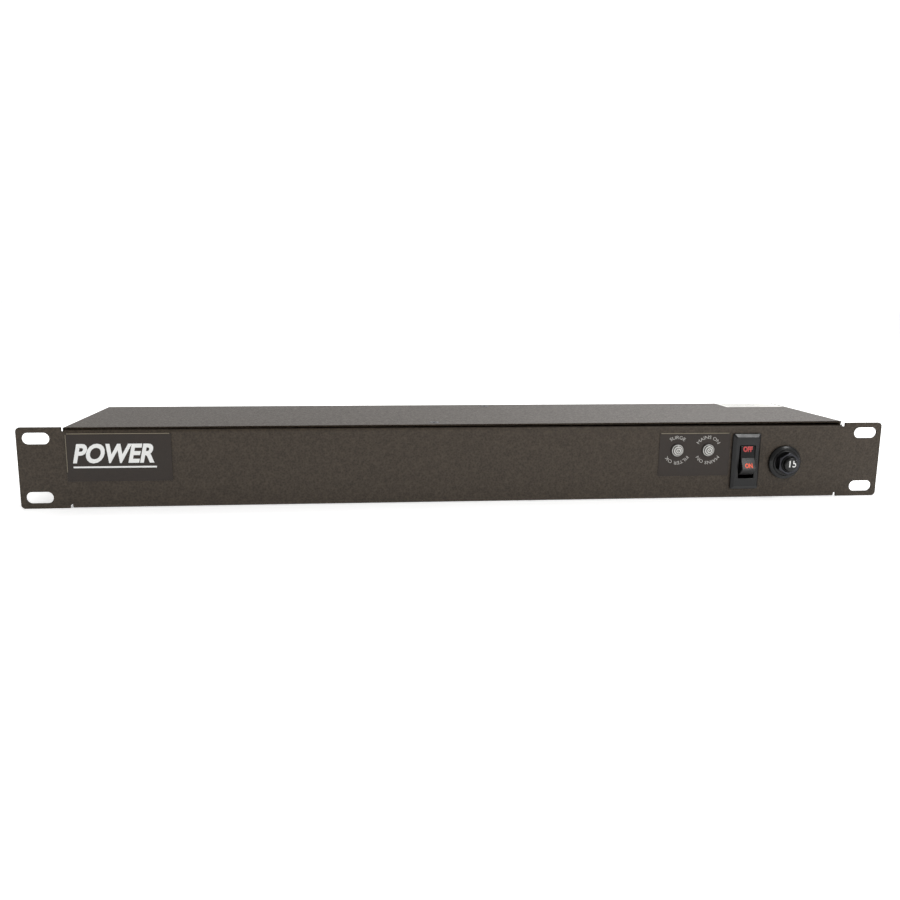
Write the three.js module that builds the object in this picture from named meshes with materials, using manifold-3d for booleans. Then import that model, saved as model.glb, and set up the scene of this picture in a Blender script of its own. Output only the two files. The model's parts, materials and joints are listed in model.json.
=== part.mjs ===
// Rack power strip: a one-unit, 19-inch mains strip with surge protection. A folded steel
// tray carries the front panel with its mounting ears, and a folded cover closes it.
// The front has two indicator lamps, a rocker switch and a resettable circuit breaker.
// The rear has eight outlets, an earth stud and a mains inlet.
//
// Millimetres. X runs along the panel, Y from the front into the rack and Z upwards.
// Depths are counted from the panel's front face and heights from the tray's underside.

import * as THREE from 'three';
import { ConvexGeometry } from 'three/addons/geometries/ConvexGeometry.js';
import { mergeVertices } from 'three/addons/utils/BufferGeometryUtils.js';
import Module from 'manifold-3d';

const wasm = await Module();
wasm.setup();

// ---- Driving dimensions ----

// Front panel, to the 19-inch rack standard: width, one unit of height, slot spacing.
const PANEL_WIDTH = 482.6;
const PANEL_HEIGHT = 43.66;
const PANEL_CORNER = 2.2;
const SLOT_X = 231.5;
const SLOT_SPACING = 31.75;
const SLOT_LENGTH = 13.9;
const SLOT_HEIGHT = 6.2;

// Tray, folded from 18 gauge steel. The bends at the panel stop short of the ears.
const SHEET = 1.2;
const BEND = 1.6;
const TRAY_DEPTH = 84;
const TRAY_HEIGHT = 42.2;
const TRAY_HALF_WIDTH = 215.3;
const BEND_HALF_WIDTH = 217;
const RELIEF_WIDTH = 1.4;
const RELIEF_DEPTH = 2.2;
const FLOOR_BEND_HALF_WIDTH = 215;
const FLANGE_DEPTH = 14;
const FLANGE_HALF_WIDTH = 214.3;
const EAR_ROOT = 210.6;
const CLEAR_OF_PANEL = 1.9;
const FLOOR_RELIEF_END = 2.2;
const LIP_HEIGHT = 12;
const LIP_START = 2.6;
const LIP_END = 80;
const LIP_GAP = 0.5;

// Cover. Its right end sits a little higher than its left end, as the folds pull it, and
// it sits a little to the left on the tray, within the play of its screw holes.
const COVER_WIDTH = 435.2;
const COVER_SHIFT = -0.6;
const COVER_BEND = 2;
const COVER_FRONT = 1;
const COVER_REAR = 83.2;
const COVER_LEFT_TOP = 43.45;
const COVER_RIGHT_TOP = 44.65;
const COVER_SIDE_BOTTOM = 1.6;
const COVER_SIDE_FRONT = 2.2;
const COVER_SCREWS = { cover_screw_front: [-21.2, 8.6], cover_screw_rear: [17.6, 76.5] };
const SIDE_SCREW_DEPTH = 45;
const SIDE_SCREW_HEIGHT = 7;

// Thin labels, with the film of adhesive under them.
const ADHESIVE = 0.03;
const PLATE_THICKNESS = 0.35;
const LABEL_THICKNESS = 0.25;
const NAME_PLATE = { left: -216.6, right: -162.6, bottom: 14.6, top: 40.5 };
const INDICATOR_LABEL = { left: 106.8, right: 148.8, bottom: 13.4, top: 38.4 };
const RATING_LABEL = { left: 175, right: 213.8, front: 63.2, rear: 82.7, thickness: 0.12 };

// Controls on the front panel.
const LAMP_XS = [117.4, 135.8];
const LAMP_Z = 28.4;
const SWITCH_X = 158.6;
const SWITCH_Z = 21.6;
const ROCKER_SWING = 32;
const ARM_SWING = 12;
const BREAKER_X = 182.6;
const BREAKER_Z = 20.8;
const BUTTON_FRONT = -9;

// Rear wall: outlets, earth stud and inlet.
const OUTLET_COUNT = 8;
const OUTLET_FIRST_X = -190;
const OUTLET_PITCH = 43.5;
const OUTLET_Z = 21;
const BLADE_Z = OUTLET_Z + 4.5;
const BLADE_OFFSET = 6.35;
const EARTH_DROP = 11.9;
const STUD_X = 143.5;
const STUD_Z = 21.8;
const STUD_END = 93.5;
const INLET_X = 180;
const INLET_Z = 21.8;
const INLET_SCREW_OFFSET = 20;

// Screws, terminals and wires.
const SCREW_RADIUS = 1.45;
const SCREW_HOLE_RADIUS = 1.75;
const SCREW_HOLE_REACH = 3;
const SCREW_SIDES = 14;
const SCREW_POINT = 0.8;
const SCREW_POINT_RADIUS = 0.8;
const HEAD_RADIUS = 2.8;
const FLAT_HEAD_RISE = 0.08;
const COUNTERSINK_RADIUS = 3.1;
const COUNTERSINK_DEPTH = 1.35;
const PAN_HEAD = [[0, -1.7], [1.4, -1.6], [2.4, -1.1], [HEAD_RADIUS, -0.5]];
const PAN_RECESS_DEPTH = 1;
const RECESS_HALF_LENGTH = 1.4;
const RECESS_HALF_WIDTH = 0.35;
const COVER_SCREW_LENGTH = 7;
const INLET_SCREW_LENGTH = 9;
// Parts that touch are drawn this far apart, so that none share a face.
const SEAT = 0.05;
const TAB_HALF_WIDTH = 3.15;
const TAB_HALF_THICKNESS = 0.4;
const TAB_CLEARANCE = 0.25;
const WIRE_RADIUS = 1.5;
const WIRE_STEPS = 14;

// Holes in the panel and in the rear wall, as half widths and half heights, or as radii.
const SWITCH_HOLE = [6.9, 14.2];
const BREAKER_HOLE = 5.1;
const LAMP_HOLE = 3.2;
const LABEL_HOLE = 3.3;
const STUD_HOLE = 2.6;
const INLET_HOLE = [13.8, 9.8];
const OUTLET_HOLE = [16, 12.45];

// Worked out from the dimensions above.
const PANEL_MIDDLE = PANEL_HEIGHT / 2;
const COVER_MIDDLE_TOP = (COVER_LEFT_TOP + COVER_RIGHT_TOP) / 2;
const COVER_RISE = COVER_RIGHT_TOP - COVER_LEFT_TOP;
const COVER_TILT = Math.asin(COVER_RISE / COVER_WIDTH);
const WALL_INSIDE = TRAY_DEPTH - SHEET;
const OUTLET_XS = Array.from({ length: OUTLET_COUNT }, (_, i) => OUTLET_FIRST_X + i * OUTLET_PITCH);
const DEPTH_MIDDLE = (BUTTON_FRONT + STUD_END) / 2;

// ---- Finishes ----

const FINISH = {
  paint: { color: 0x48403a, roughness: 0.55, metalness: 0.2 },
  blackPlastic: { color: 0x161616, roughness: 0.4, metalness: 0 },
  whitePlastic: { color: 0xd9d5cb, roughness: 0.5, metalness: 0 },
  blackMetal: { color: 0x202022, roughness: 0.35, metalness: 0.6 },
  steel: { color: 0xb4b4b2, roughness: 0.3, metalness: 1 },
  brass: { color: 0xb9954f, roughness: 0.35, metalness: 1 },
  copper: { color: 0xb87040, roughness: 0.35, metalness: 1 },
  plate: { color: 0x3a3639, roughness: 0.35, metalness: 0.1 },
  paper: { color: 0xe6e5e0, roughness: 0.6, metalness: 0 },
  clear: { color: 0xdadcdc, roughness: 0.1, metalness: 0 },
  glass: { color: 0xe8ddd2, roughness: 0.05, metalness: 0 },
  board: { color: 0x2c6b3c, roughness: 0.5, metalness: 0 },
  varistor: { color: 0x2458a8, roughness: 0.4, metalness: 0 },
  blackWire: { color: 0x141414, roughness: 0.5, metalness: 0 },
  whiteWire: { color: 0xd8d8d4, roughness: 0.5, metalness: 0 },
  greenWire: { color: 0x1f7a3a, roughness: 0.5, metalness: 0 },
};

// ---- Solids ----

const MERGE_DISTANCE = 1e-4;

// The solid inside a closed mesh, with its faces turned outwards.
function solid(geometry) {
  const bare = geometry.clone();
  bare.deleteAttribute('normal');
  bare.deleteAttribute('uv');
  const merged = mergeVertices(bare, MERGE_DISTANCE);
  const places = merged.attributes.position.array;
  const corner = (i) => new THREE.Vector3().fromArray(places, 3 * i);
  const triangles = [];
  let volume = 0;
  for (let i = 0; i < merged.index.count; i += 3) {
    const [a, b, c] = merged.index.array.slice(i, i + 3);
    if (a === b || b === c || c === a) continue;
    triangles.push(a, b, c);
    volume += corner(a).dot(corner(b).cross(corner(c)));
  }
  if (volume < 0) triangles.reverse();
  const mesh = new wasm.Mesh({
    numProp: 3,
    vertProperties: new Float32Array(places),
    triVerts: new Uint32Array(triangles),
  });
  return new wasm.Manifold(mesh);
}

function asSolid(piece) {
  return piece.isBufferGeometry ? solid(piece) : piece;
}

function join(first, ...others) {
  return others.reduce((whole, piece) => whole.add(asSolid(piece)), asSolid(first));
}

function cut(first, ...others) {
  return others.reduce((whole, piece) => whole.subtract(asSolid(piece)), asSolid(first));
}

function common(first, second) {
  return asSolid(first).intersect(asSolid(second));
}

function asGeometry(piece) {
  const mesh = asSolid(piece).getMesh();
  const geometry = new THREE.BufferGeometry();
  geometry.setAttribute('position', new THREE.BufferAttribute(new Float32Array(mesh.vertProperties), 3));
  geometry.setIndex(new THREE.BufferAttribute(new Uint32Array(mesh.triVerts), 1));
  geometry.computeVertexNormals();
  return geometry;
}

function place(group, name, piece, finish) {
  const material = new THREE.MeshStandardMaterial({ ...finish, flatShading: true });
  const mesh = new THREE.Mesh(asGeometry(piece), material);
  mesh.name = name;
  group.add(mesh);
}

// ---- Shapes ----

function block([x0, x1], [y0, y1], [z0, z1]) {
  const box = new THREE.BoxGeometry(x1 - x0, y1 - y0, z1 - z0);
  return box.translate((x0 + x1) / 2, (y0 + y1) / 2, (z0 + z1) / 2);
}

// A block given by the middle of its width and height, and its range of depth.
function centredBlock(x, z, halfWidth, halfHeight, depths) {
  return block([x - halfWidth, x + halfWidth], depths, [z - halfHeight, z + halfHeight]);
}

function extruded(outline, length, curveSegments) {
  return new THREE.ExtrudeGeometry(outline, { depth: length, bevelEnabled: false, curveSegments });
}

// An outline in X and Z, given thickness over a range of depth.
function alongY(outline, [y0, y1], curveSegments = 4) {
  const turn = new THREE.Matrix4().makeBasis(
    new THREE.Vector3(1, 0, 0),
    new THREE.Vector3(0, 0, 1),
    new THREE.Vector3(0, -1, 0),
  );
  return extruded(outline, y1 - y0, curveSegments).applyMatrix4(turn).translate(0, y1, 0);
}

// An outline in Y and Z, given length over a range of X.
function alongX(outline, [x0, x1], curveSegments = 2) {
  const turn = new THREE.Matrix4().makeBasis(
    new THREE.Vector3(0, 1, 0),
    new THREE.Vector3(0, 0, 1),
    new THREE.Vector3(1, 0, 0),
  );
  return extruded(outline, x1 - x0, curveSegments).applyMatrix4(turn).translate(x0, 0, 0);
}

function polygon(points) {
  return new THREE.Shape(points.map(([a, b]) => new THREE.Vector2(a, b)));
}

function roundedRectangle(x, z, width, height, radius) {
  const [right, top] = [width / 2 - radius, height / 2 - radius];
  const shape = new THREE.Shape();
  shape.absarc(x + right, z + top, radius, 0, Math.PI / 2);
  shape.absarc(x - right, z + top, radius, Math.PI / 2, Math.PI);
  shape.absarc(x - right, z - top, radius, Math.PI, 1.5 * Math.PI);
  shape.absarc(x + right, z - top, radius, 1.5 * Math.PI, 2 * Math.PI);
  return shape;
}

// A piece turned about the Y axis from an outline of [radius, depth] points.
function turned(outline, sides = 24) {
  return new THREE.LatheGeometry(outline.map(([r, y]) => new THREE.Vector2(r, y)), sides);
}

function rod(radius, [y0, y1], sides = 24) {
  return turned([[0, y0], [radius, y0], [radius, y1], [0, y1]], sides);
}

function drilled(x, z, radius, depths, sides = 24) {
  return rod(radius, depths, sides).translate(x, 0, z);
}

// Adds a line with rounded corners to a shape, through the given points.
function roundedLine(shape, points, radius) {
  points.slice(1, -1).forEach((corner, i) => {
    const into = corner.clone().sub(points[i]).normalize();
    const outOf = points[i + 2].clone().sub(corner).normalize();
    const left = into.x * outOf.y - into.y * outOf.x > 0;
    const side = left ? 1 : -1;
    const normal = new THREE.Vector2(-into.y * side, into.x * side);
    const centre = corner.clone().addScaledVector(into, -radius).addScaledVector(normal, radius);
    const start = Math.atan2(-normal.y, -normal.x);
    shape.absarc(centre.x, centre.y, radius, start, start + side * Math.PI / 2, !left);
  });
}

// The section of a sheet folded at right angles, from the line of its outer face. The
// sheet lies to the left of the line.
function foldedSheet(outline, thickness, bend) {
  const outer = outline.map(([a, b]) => new THREE.Vector2(a, b));
  const ways = outer.slice(1).map((point, i) => point.clone().sub(outer[i]).normalize());
  const inner = outer.map((point, i) => {
    const sides = new Set([ways[Math.max(i - 1, 0)], ways[Math.min(i, ways.length - 1)]]);
    const moved = point.clone();
    sides.forEach((way) => moved.add(new THREE.Vector2(-way.y, way.x).multiplyScalar(thickness)));
    return moved;
  }).reverse();
  const shape = new THREE.Shape();
  shape.moveTo(outer[0].x, outer[0].y);
  roundedLine(shape, outer, bend);
  shape.lineTo(outer.at(-1).x, outer.at(-1).y);
  shape.lineTo(inner[0].x, inner[0].y);
  roundedLine(shape, inner, bend - thickness);
  shape.lineTo(inner.at(-1).x, inner.at(-1).y);
  return shape;
}

// ---- Tray and cover ----

function sorted(...range) {
  return range.sort((a, b) => a - b);
}

function ear(side) {
  const top = TRAY_HEIGHT - BEND;
  const outer = PANEL_WIDTH / 2 - PANEL_CORNER;
  const outline = new THREE.Shape();
  outline.moveTo(EAR_ROOT, RELIEF_DEPTH);
  outline.lineTo(FLOOR_BEND_HALF_WIDTH + RELIEF_WIDTH, RELIEF_DEPTH);
  outline.lineTo(FLOOR_BEND_HALF_WIDTH + RELIEF_WIDTH, 0);
  outline.absarc(outer, PANEL_CORNER, PANEL_CORNER, -Math.PI / 2, 0);
  outline.absarc(outer, PANEL_HEIGHT - PANEL_CORNER, PANEL_CORNER, 0, Math.PI / 2);
  outline.lineTo(BEND_HALF_WIDTH + RELIEF_WIDTH, PANEL_HEIGHT);
  outline.lineTo(BEND_HALF_WIDTH + RELIEF_WIDTH, PANEL_HEIGHT - RELIEF_DEPTH);
  outline.lineTo(BEND_HALF_WIDTH, PANEL_HEIGHT - RELIEF_DEPTH);
  outline.lineTo(BEND_HALF_WIDTH, top);
  outline.lineTo(EAR_ROOT, top);
  for (const row of [-1, 1]) {
    const middle = PANEL_MIDDLE + row * SLOT_SPACING / 2;
    outline.holes.push(roundedRectangle(SLOT_X, middle, SLOT_LENGTH, SLOT_HEIGHT, SLOT_HEIGHT / 2));
  }
  return alongY(outline, [0, SHEET]).scale(side, 1, 1);
}

function sideLip(side) {
  const outline = foldedSheet(
    [[EAR_ROOT, 0], [TRAY_HALF_WIDTH, 0], [TRAY_HALF_WIDTH, LIP_HEIGHT]],
    SHEET,
    BEND,
  );
  return alongY(outline, [LIP_START, LIP_END], 2).scale(side, 1, 1);
}

function screwHole() {
  return rod(SCREW_HOLE_RADIUS, [-SCREW_HOLE_REACH, SCREW_HOLE_REACH], SCREW_SIDES);
}

function chassisTray() {
  const channel = foldedSheet(
    [
      [FLANGE_DEPTH, TRAY_HEIGHT],
      [0, TRAY_HEIGHT],
      [0, 0],
      [TRAY_DEPTH, 0],
      [TRAY_DEPTH, TRAY_HEIGHT],
      [TRAY_DEPTH - FLANGE_DEPTH, TRAY_HEIGHT],
    ],
    SHEET,
    BEND,
  );
  let tray = solid(alongX(channel, [-BEND_HALF_WIDTH, BEND_HALF_WIDTH]));
  const beyond = 2 * TRAY_DEPTH;
  for (const side of [-1, 1]) {
    const outward = (from) => sorted(side * from, side * PANEL_WIDTH);
    tray = cut(
      tray,
      block(outward(TRAY_HALF_WIDTH), [CLEAR_OF_PANEL, beyond], [-1, beyond]),
      block(outward(FLANGE_HALF_WIDTH), [CLEAR_OF_PANEL, beyond], [TRAY_HEIGHT - BEND, beyond]),
      block(outward(FLOOR_BEND_HALF_WIDTH), [-1, FLOOR_RELIEF_END], [-1, RELIEF_DEPTH]),
      block(outward(TRAY_HALF_WIDTH - BEND), [FLOOR_RELIEF_END, LIP_END + LIP_GAP], [-1, SHEET + SEAT]),
    );
    tray = join(tray, ear(side), sideLip(side));
  }

  const front = [-1, SHEET + 1];
  const rear = [WALL_INSIDE - 1, TRAY_DEPTH + 1];
  tray = cut(
    tray,
    centredBlock(SWITCH_X, SWITCH_Z, ...SWITCH_HOLE, front),
    drilled(BREAKER_X, BREAKER_Z, BREAKER_HOLE, front),
    drilled(STUD_X, STUD_Z, STUD_HOLE, rear, 16),
    centredBlock(INLET_X, INLET_Z, ...INLET_HOLE, rear),
  );
  for (const x of LAMP_XS) tray = cut(tray, drilled(x, LAMP_Z, LAMP_HOLE, front));
  for (const x of OUTLET_XS) tray = cut(tray, centredBlock(x, OUTLET_Z, ...OUTLET_HOLE, rear));
  for (const side of [-1, 1]) {
    const height = SIDE_SCREW_HEIGHT + side * COVER_RISE / 2;
    tray = cut(
      tray,
      screwHole().translate(INLET_X + side * INLET_SCREW_OFFSET, TRAY_DEPTH, INLET_Z),
      screwHole().rotateZ(Math.PI / 2).translate(side * TRAY_HALF_WIDTH, SIDE_SCREW_DEPTH, height),
    );
  }
  for (const [x, y] of Object.values(COVER_SCREWS)) {
    tray = cut(tray, screwHole().rotateX(Math.PI / 2).translate(x, y, TRAY_HEIGHT));
  }
  return tray;
}

// The cover, its screws and its label hang from the middle of the cover's top face.
function topCover() {
  const half = COVER_WIDTH / 2;
  const bottom = COVER_SIDE_BOTTOM - COVER_MIDDLE_TOP;
  const section = foldedSheet([[half, bottom], [half, 0], [-half, 0], [-half, bottom]], SHEET, COVER_BEND);
  let cover = solid(alongY(section, [COVER_FRONT, COVER_REAR], 3));
  const screwHeight = SIDE_SCREW_HEIGHT - COVER_MIDDLE_TOP;
  for (const side of [-1, 1]) {
    const edge = sorted(side * (half - COVER_BEND - 1), side * (half + 1));
    cover = cut(
      cover,
      block(edge, [0, COVER_SIDE_FRONT], [bottom - 1, SEAT - SHEET]),
      screwHole().rotateZ(Math.PI / 2).translate(side * half, SIDE_SCREW_DEPTH, screwHeight),
    );
  }
  const well = turned([
    [0, -1], [COUNTERSINK_RADIUS, -1], [COUNTERSINK_RADIUS, 0], [SCREW_HOLE_RADIUS, COUNTERSINK_DEPTH],
    [SCREW_HOLE_RADIUS, SCREW_HOLE_REACH], [0, SCREW_HOLE_REACH],
  ], SCREW_SIDES).rotateX(-Math.PI / 2);
  for (const [x, y] of Object.values(COVER_SCREWS)) {
    cover = cut(cover, well.clone().translate(x - COVER_SHIFT, y, 0));
  }
  return cover;
}

// The shank of a screw, from a neck at the given depth to its blunt point.
function shank(neck, length) {
  return [
    [SCREW_RADIUS, neck],
    [SCREW_RADIUS, length - SCREW_POINT],
    [SCREW_POINT_RADIUS, length],
    [0, length],
  ];
}

function crossRecess(depths) {
  return [
    centredBlock(0, 0, RECESS_HALF_LENGTH, RECESS_HALF_WIDTH, depths),
    centredBlock(0, 0, RECESS_HALF_WIDTH, RECESS_HALF_LENGTH, depths),
  ];
}

// A countersunk screw with a cross recess, its head flush with Y = 0 and facing -Y.
function flatHeadScrew(length) {
  const head = [[0, -FLAT_HEAD_RISE], [HEAD_RADIUS - FLAT_HEAD_RISE, -FLAT_HEAD_RISE], [HEAD_RADIUS, 0]];
  const body = turned([...head, ...shank(COUNTERSINK_DEPTH, length)], SCREW_SIDES);
  return cut(body, ...crossRecess([-1, COUNTERSINK_DEPTH * 2 / 3]));
}

// A pan head screw with a cross recess, its head standing on Y = 0 and facing -Y.
function panHeadScrew(length) {
  const body = turned([...PAN_HEAD, [HEAD_RADIUS, -SEAT], ...shank(-SEAT, length)], SCREW_SIDES);
  const top = PAN_HEAD[0][1];
  return cut(body, ...crossRecess([top - 1, top + PAN_RECESS_DEPTH]));
}

function buildCase(strip) {
  place(strip, 'chassis_tray', chassisTray(), FINISH.paint);

  const lid = new THREE.Group();
  lid.position.set(COVER_SHIFT, 0, COVER_MIDDLE_TOP);
  lid.rotation.y = -COVER_TILT;
  strip.add(lid);
  place(lid, 'top_cover', topCover(), FINISH.paint);

  for (const [name, [x, y]] of Object.entries(COVER_SCREWS)) {
    const screw = new THREE.Group();
    screw.position.set(x - COVER_SHIFT, y, 0);
    screw.rotation.x = -Math.PI / 2;
    lid.add(screw);
    place(screw, name, flatHeadScrew(COVER_SCREW_LENGTH), FINISH.blackMetal);
  }
  for (const [name, side] of [['side_screw_left', -1], ['side_screw_right', 1]]) {
    const screw = new THREE.Group();
    screw.position.set(side * COVER_WIDTH / 2, SIDE_SCREW_DEPTH, SIDE_SCREW_HEIGHT - COVER_MIDDLE_TOP);
    screw.rotation.z = side * Math.PI / 2;
    lid.add(screw);
    place(screw, name, panHeadScrew(COVER_SCREW_LENGTH), FINISH.blackMetal);
  }

  const { left, right, front, rear, thickness } = RATING_LABEL;
  const width = [left - COVER_SHIFT, right - COVER_SHIFT];
  const rating = block(width, [front, rear], [ADHESIVE, ADHESIVE + thickness]);
  place(lid, 'rating_label', rating, FINISH.paper);
}

// ---- Labels and indicators on the panel ----

// Outlines of [radius, depth] points, from the middle of the front.
const LENS_DOME = [[0, -2.9], [1.4, -2.78], [2.6, -2.3], [3.35, -1.5], [3.6, -0.8]];
const LENS_SEAT = -ADHESIVE - LABEL_THICKNESS - SEAT;
const LENS_BARREL = [[2.9, LENS_SEAT], [2.9, 6], [2.2, 6], [2.2, -1], [0, -1.2]];
const HOLDER = [[3.2, 1.5], [4.2, 1.5], [4.2, 12.5], [1.2, 12.5], [1.2, 11.3], [3.2, 11.3], [3.2, 1.5]];
const GLASS_TUBE = [[0, -0.4], [0.8, -0.2], [1.5, 0.6], [1.5, 9.5], [0, 9.5]];
const LENS_SIDES = 20;
const TUBE_SIDES = 14;
const LEAD_OFFSET = 0.6;
const LEAD_HALF_WIDTH = 0.25;
const LEAD_DEPTHS = [9, 17];

function buildLabels(strip) {
  const plate = NAME_PLATE;
  const plateDepth = [-ADHESIVE - PLATE_THICKNESS, -ADHESIVE];
  const namePlate = block([plate.left, plate.right], plateDepth, [plate.bottom, plate.top]);
  place(strip, 'name_plate', namePlate, FINISH.plate);

  const film = INDICATOR_LABEL;
  const filmDepth = [-ADHESIVE - LABEL_THICKNESS, -ADHESIVE];
  let label = solid(block([film.left, film.right], filmDepth, [film.bottom, film.top]));
  for (const x of LAMP_XS) label = cut(label, drilled(x, LAMP_Z, LABEL_HOLE, [-1, 1]));
  place(strip, 'indicator_label', label, FINISH.plate);
}

// A clear domed lens with a hollow barrel, its flange on the label.
function indicatorLens() {
  const rim = [LENS_DOME.at(-1)[0], LENS_SEAT];
  return turned([...LENS_DOME, rim, ...LENS_BARREL], LENS_SIDES);
}

// The holder behind the panel that grips the lens's barrel and the lamp's leads.
function lampHolder() {
  return turned(HOLDER, LENS_SIDES);
}

// A neon lamp: a round-nosed glass tube with two leads.
function neonLamp() {
  const leads = [-LEAD_OFFSET, LEAD_OFFSET].map((x) => (
    centredBlock(x, 0, LEAD_HALF_WIDTH, LEAD_HALF_WIDTH, LEAD_DEPTHS)
  ));
  return join(turned(GLASS_TUBE, TUBE_SIDES), ...leads);
}

function buildIndicators(strip) {
  LAMP_XS.forEach((x, i) => {
    const lamp = new THREE.Group();
    lamp.position.set(x, 0, LAMP_Z);
    strip.add(lamp);
    place(lamp, `indicator_lens_${i + 1}`, indicatorLens(), FINISH.clear);
    place(lamp, `indicator_holder_${i + 1}`, lampHolder(), FINISH.whitePlastic);
    place(lamp, `indicator_lamp_${i + 1}`, neonLamp(), FINISH.glass);
  });
}

// ---- Rocker switch ----

const ROCKER_PIVOT_DEPTH = 5;
const ROCKER_HALF_WIDTH = 4.1;
const ROCKER_TIP_RADIUS = 12;
const ROCKER_TIP_ANGLE = 34.5;
const ROCKER_HOLLOW = 1;
const ROCKER_HEEL = [-5.1, 9.3];
const ROCKER_BACK = 0.4;
const ROCKER_STEM = [6.3, 2.4];
const ROCKER_STEM_FLARE = 0.6;
const ROCKER_PIN_RADIUS = 1.5;
const ROCKER_PIN_END = 6.3;
const PLUNGER_RADIUS = 1.1;
const PLUNGER_START = 3.3;
const PLUNGER_END = 10.2;
const ARM_PIVOT_DEPTH = 16.3;
const BEZEL_OUTER = [8.4, 16.2];
const BEZEL_FRONT = [6.8, 14.2];
const BEZEL_DEPTHS = [-0.05, -1, -2.6];
const BEZEL_LIP_END = -1.2;
const HOUSING_BODY = [6.7, 14];
const HOUSING_OPENING = [4.7, 9.6];
const HOUSING_CAVITY = [5.3, 12.1];
const HOUSING_REAR = 26.8;
const HOUSING_FLOOR = 24.8;
const SWITCH_TAB_END = 33.5;
const SWITCH_LOAD_Z = 9;
const LOAD_CONTACT_DEPTH = 18;
const LOAD_PAD_THICKNESS = 0.8;
const LOAD_PAD_BOTTOM = 4.8;
const ARM_HALF_SIZE = [2.5, 8];
const ARM_DEPTHS = [-0.95, -0.15];
const ARM_CONTACT_Z = 6.5;
const ARM_CONTACT_RADIUS = 1.3;
const ARM_CONTACT_DEPTHS = [-0.3, 0.7];
const PLUNGER_TIP = 0.9;
const ROUND_SIDES = 12;

function degrees(angle) {
  return THREE.MathUtils.degToRad(angle);
}

function switchHousing() {
  const bezel = [];
  for (const [y, [x, z]] of [
    [BEZEL_DEPTHS[0], BEZEL_OUTER], [BEZEL_DEPTHS[1], BEZEL_OUTER], [BEZEL_DEPTHS[2], BEZEL_FRONT],
  ]) {
    for (const [sx, sz] of [[-1, -1], [-1, 1], [1, -1], [1, 1]]) {
      bezel.push(new THREE.Vector3(sx * x, y, sz * z));
    }
  }
  const body = centredBlock(0, 0, ...HOUSING_BODY, [BEZEL_DEPTHS[1], HOUSING_REAR]);
  const wall = TAB_CLEARANCE;
  const floor = [HOUSING_FLOOR - 1, HOUSING_REAR + 1];
  const tabHole = (z) => centredBlock(0, z, TAB_HALF_WIDTH + wall, TAB_HALF_THICKNESS + wall, floor);
  const width = BEZEL_OUTER[0];
  const pivot = rod(ROCKER_PIN_RADIUS + 2 * SEAT, [-width, width]).rotateZ(-Math.PI / 2);
  return cut(
    join(new ConvexGeometry(bezel), body),
    centredBlock(0, 0, ...HOUSING_OPENING, [BEZEL_DEPTHS[2] - 1, BEZEL_LIP_END + 1]),
    centredBlock(0, 0, ...HOUSING_CAVITY, [BEZEL_LIP_END, HOUSING_FLOOR]),
    pivot.translate(0, ROCKER_PIVOT_DEPTH, 0),
    tabHole(0),
    tabHole(SWITCH_LOAD_Z),
  );
}

// The rocker, about its pivot, in the middle of its travel. Its face is a shallow V
// between two tips, and its ends slope back from the tips to the heels.
function switchRocker() {
  const tip = new THREE.Vector2(-ROCKER_TIP_RADIUS, 0).rotateAround(
    new THREE.Vector2(), degrees(-ROCKER_TIP_ANGLE),
  );
  const upper = [
    [tip.x, tip.y],
    ROCKER_HEEL,
    [ROCKER_BACK, ROCKER_HEEL[1]],
    [ROCKER_BACK, ROCKER_STEM[1] + ROCKER_STEM_FLARE],
    ROCKER_STEM,
  ];
  const lower = upper.map(([y, z]) => [y, -z]).reverse();
  const body = alongX(
    polygon([[tip.x + ROCKER_HOLLOW, 0], ...upper, ...lower]),
    [-ROCKER_HALF_WIDTH, ROCKER_HALF_WIDTH],
  );
  const pin = rod(ROCKER_PIN_RADIUS, [-ROCKER_PIN_END, ROCKER_PIN_END]).rotateZ(-Math.PI / 2);
  const around = 3 * SEAT;
  const plungerDepths = [PLUNGER_START - around, ROCKER_STEM[0] + 1];
  return cut(join(body, pin), rod(PLUNGER_RADIUS + around, plungerDepths, ROUND_SIDES));
}

function switchPlunger() {
  return turned([
    [0, PLUNGER_START],
    [PLUNGER_RADIUS, PLUNGER_START],
    [PLUNGER_RADIUS, PLUNGER_END - PLUNGER_TIP],
    [PLUNGER_RADIUS - PLUNGER_TIP / 3, PLUNGER_END - PLUNGER_TIP / 3],
    [0, PLUNGER_END],
  ], ROUND_SIDES);
}

function contactArm() {
  return join(
    centredBlock(0, 0, ...ARM_HALF_SIZE, ARM_DEPTHS),
    drilled(0, ARM_CONTACT_Z, ARM_CONTACT_RADIUS, ARM_CONTACT_DEPTHS, ROUND_SIDES),
  );
}

function lineTerminal() {
  const depths = [ARM_PIVOT_DEPTH + 3 * SEAT, SWITCH_TAB_END];
  return centredBlock(0, 0, TAB_HALF_WIDTH, TAB_HALF_THICKNESS, depths);
}

// The load terminal's blade, with the pad that the arm's contact closes on.
function loadTerminal() {
  const front = LOAD_CONTACT_DEPTH;
  const depths = [front, SWITCH_TAB_END];
  return join(
    centredBlock(0, SWITCH_LOAD_Z, TAB_HALF_WIDTH, TAB_HALF_THICKNESS, depths),
    block(
      [-TAB_HALF_WIDTH, TAB_HALF_WIDTH],
      [front, front + LOAD_PAD_THICKNESS],
      [LOAD_PAD_BOTTOM, SWITCH_LOAD_Z],
    ),
  );
}

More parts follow.
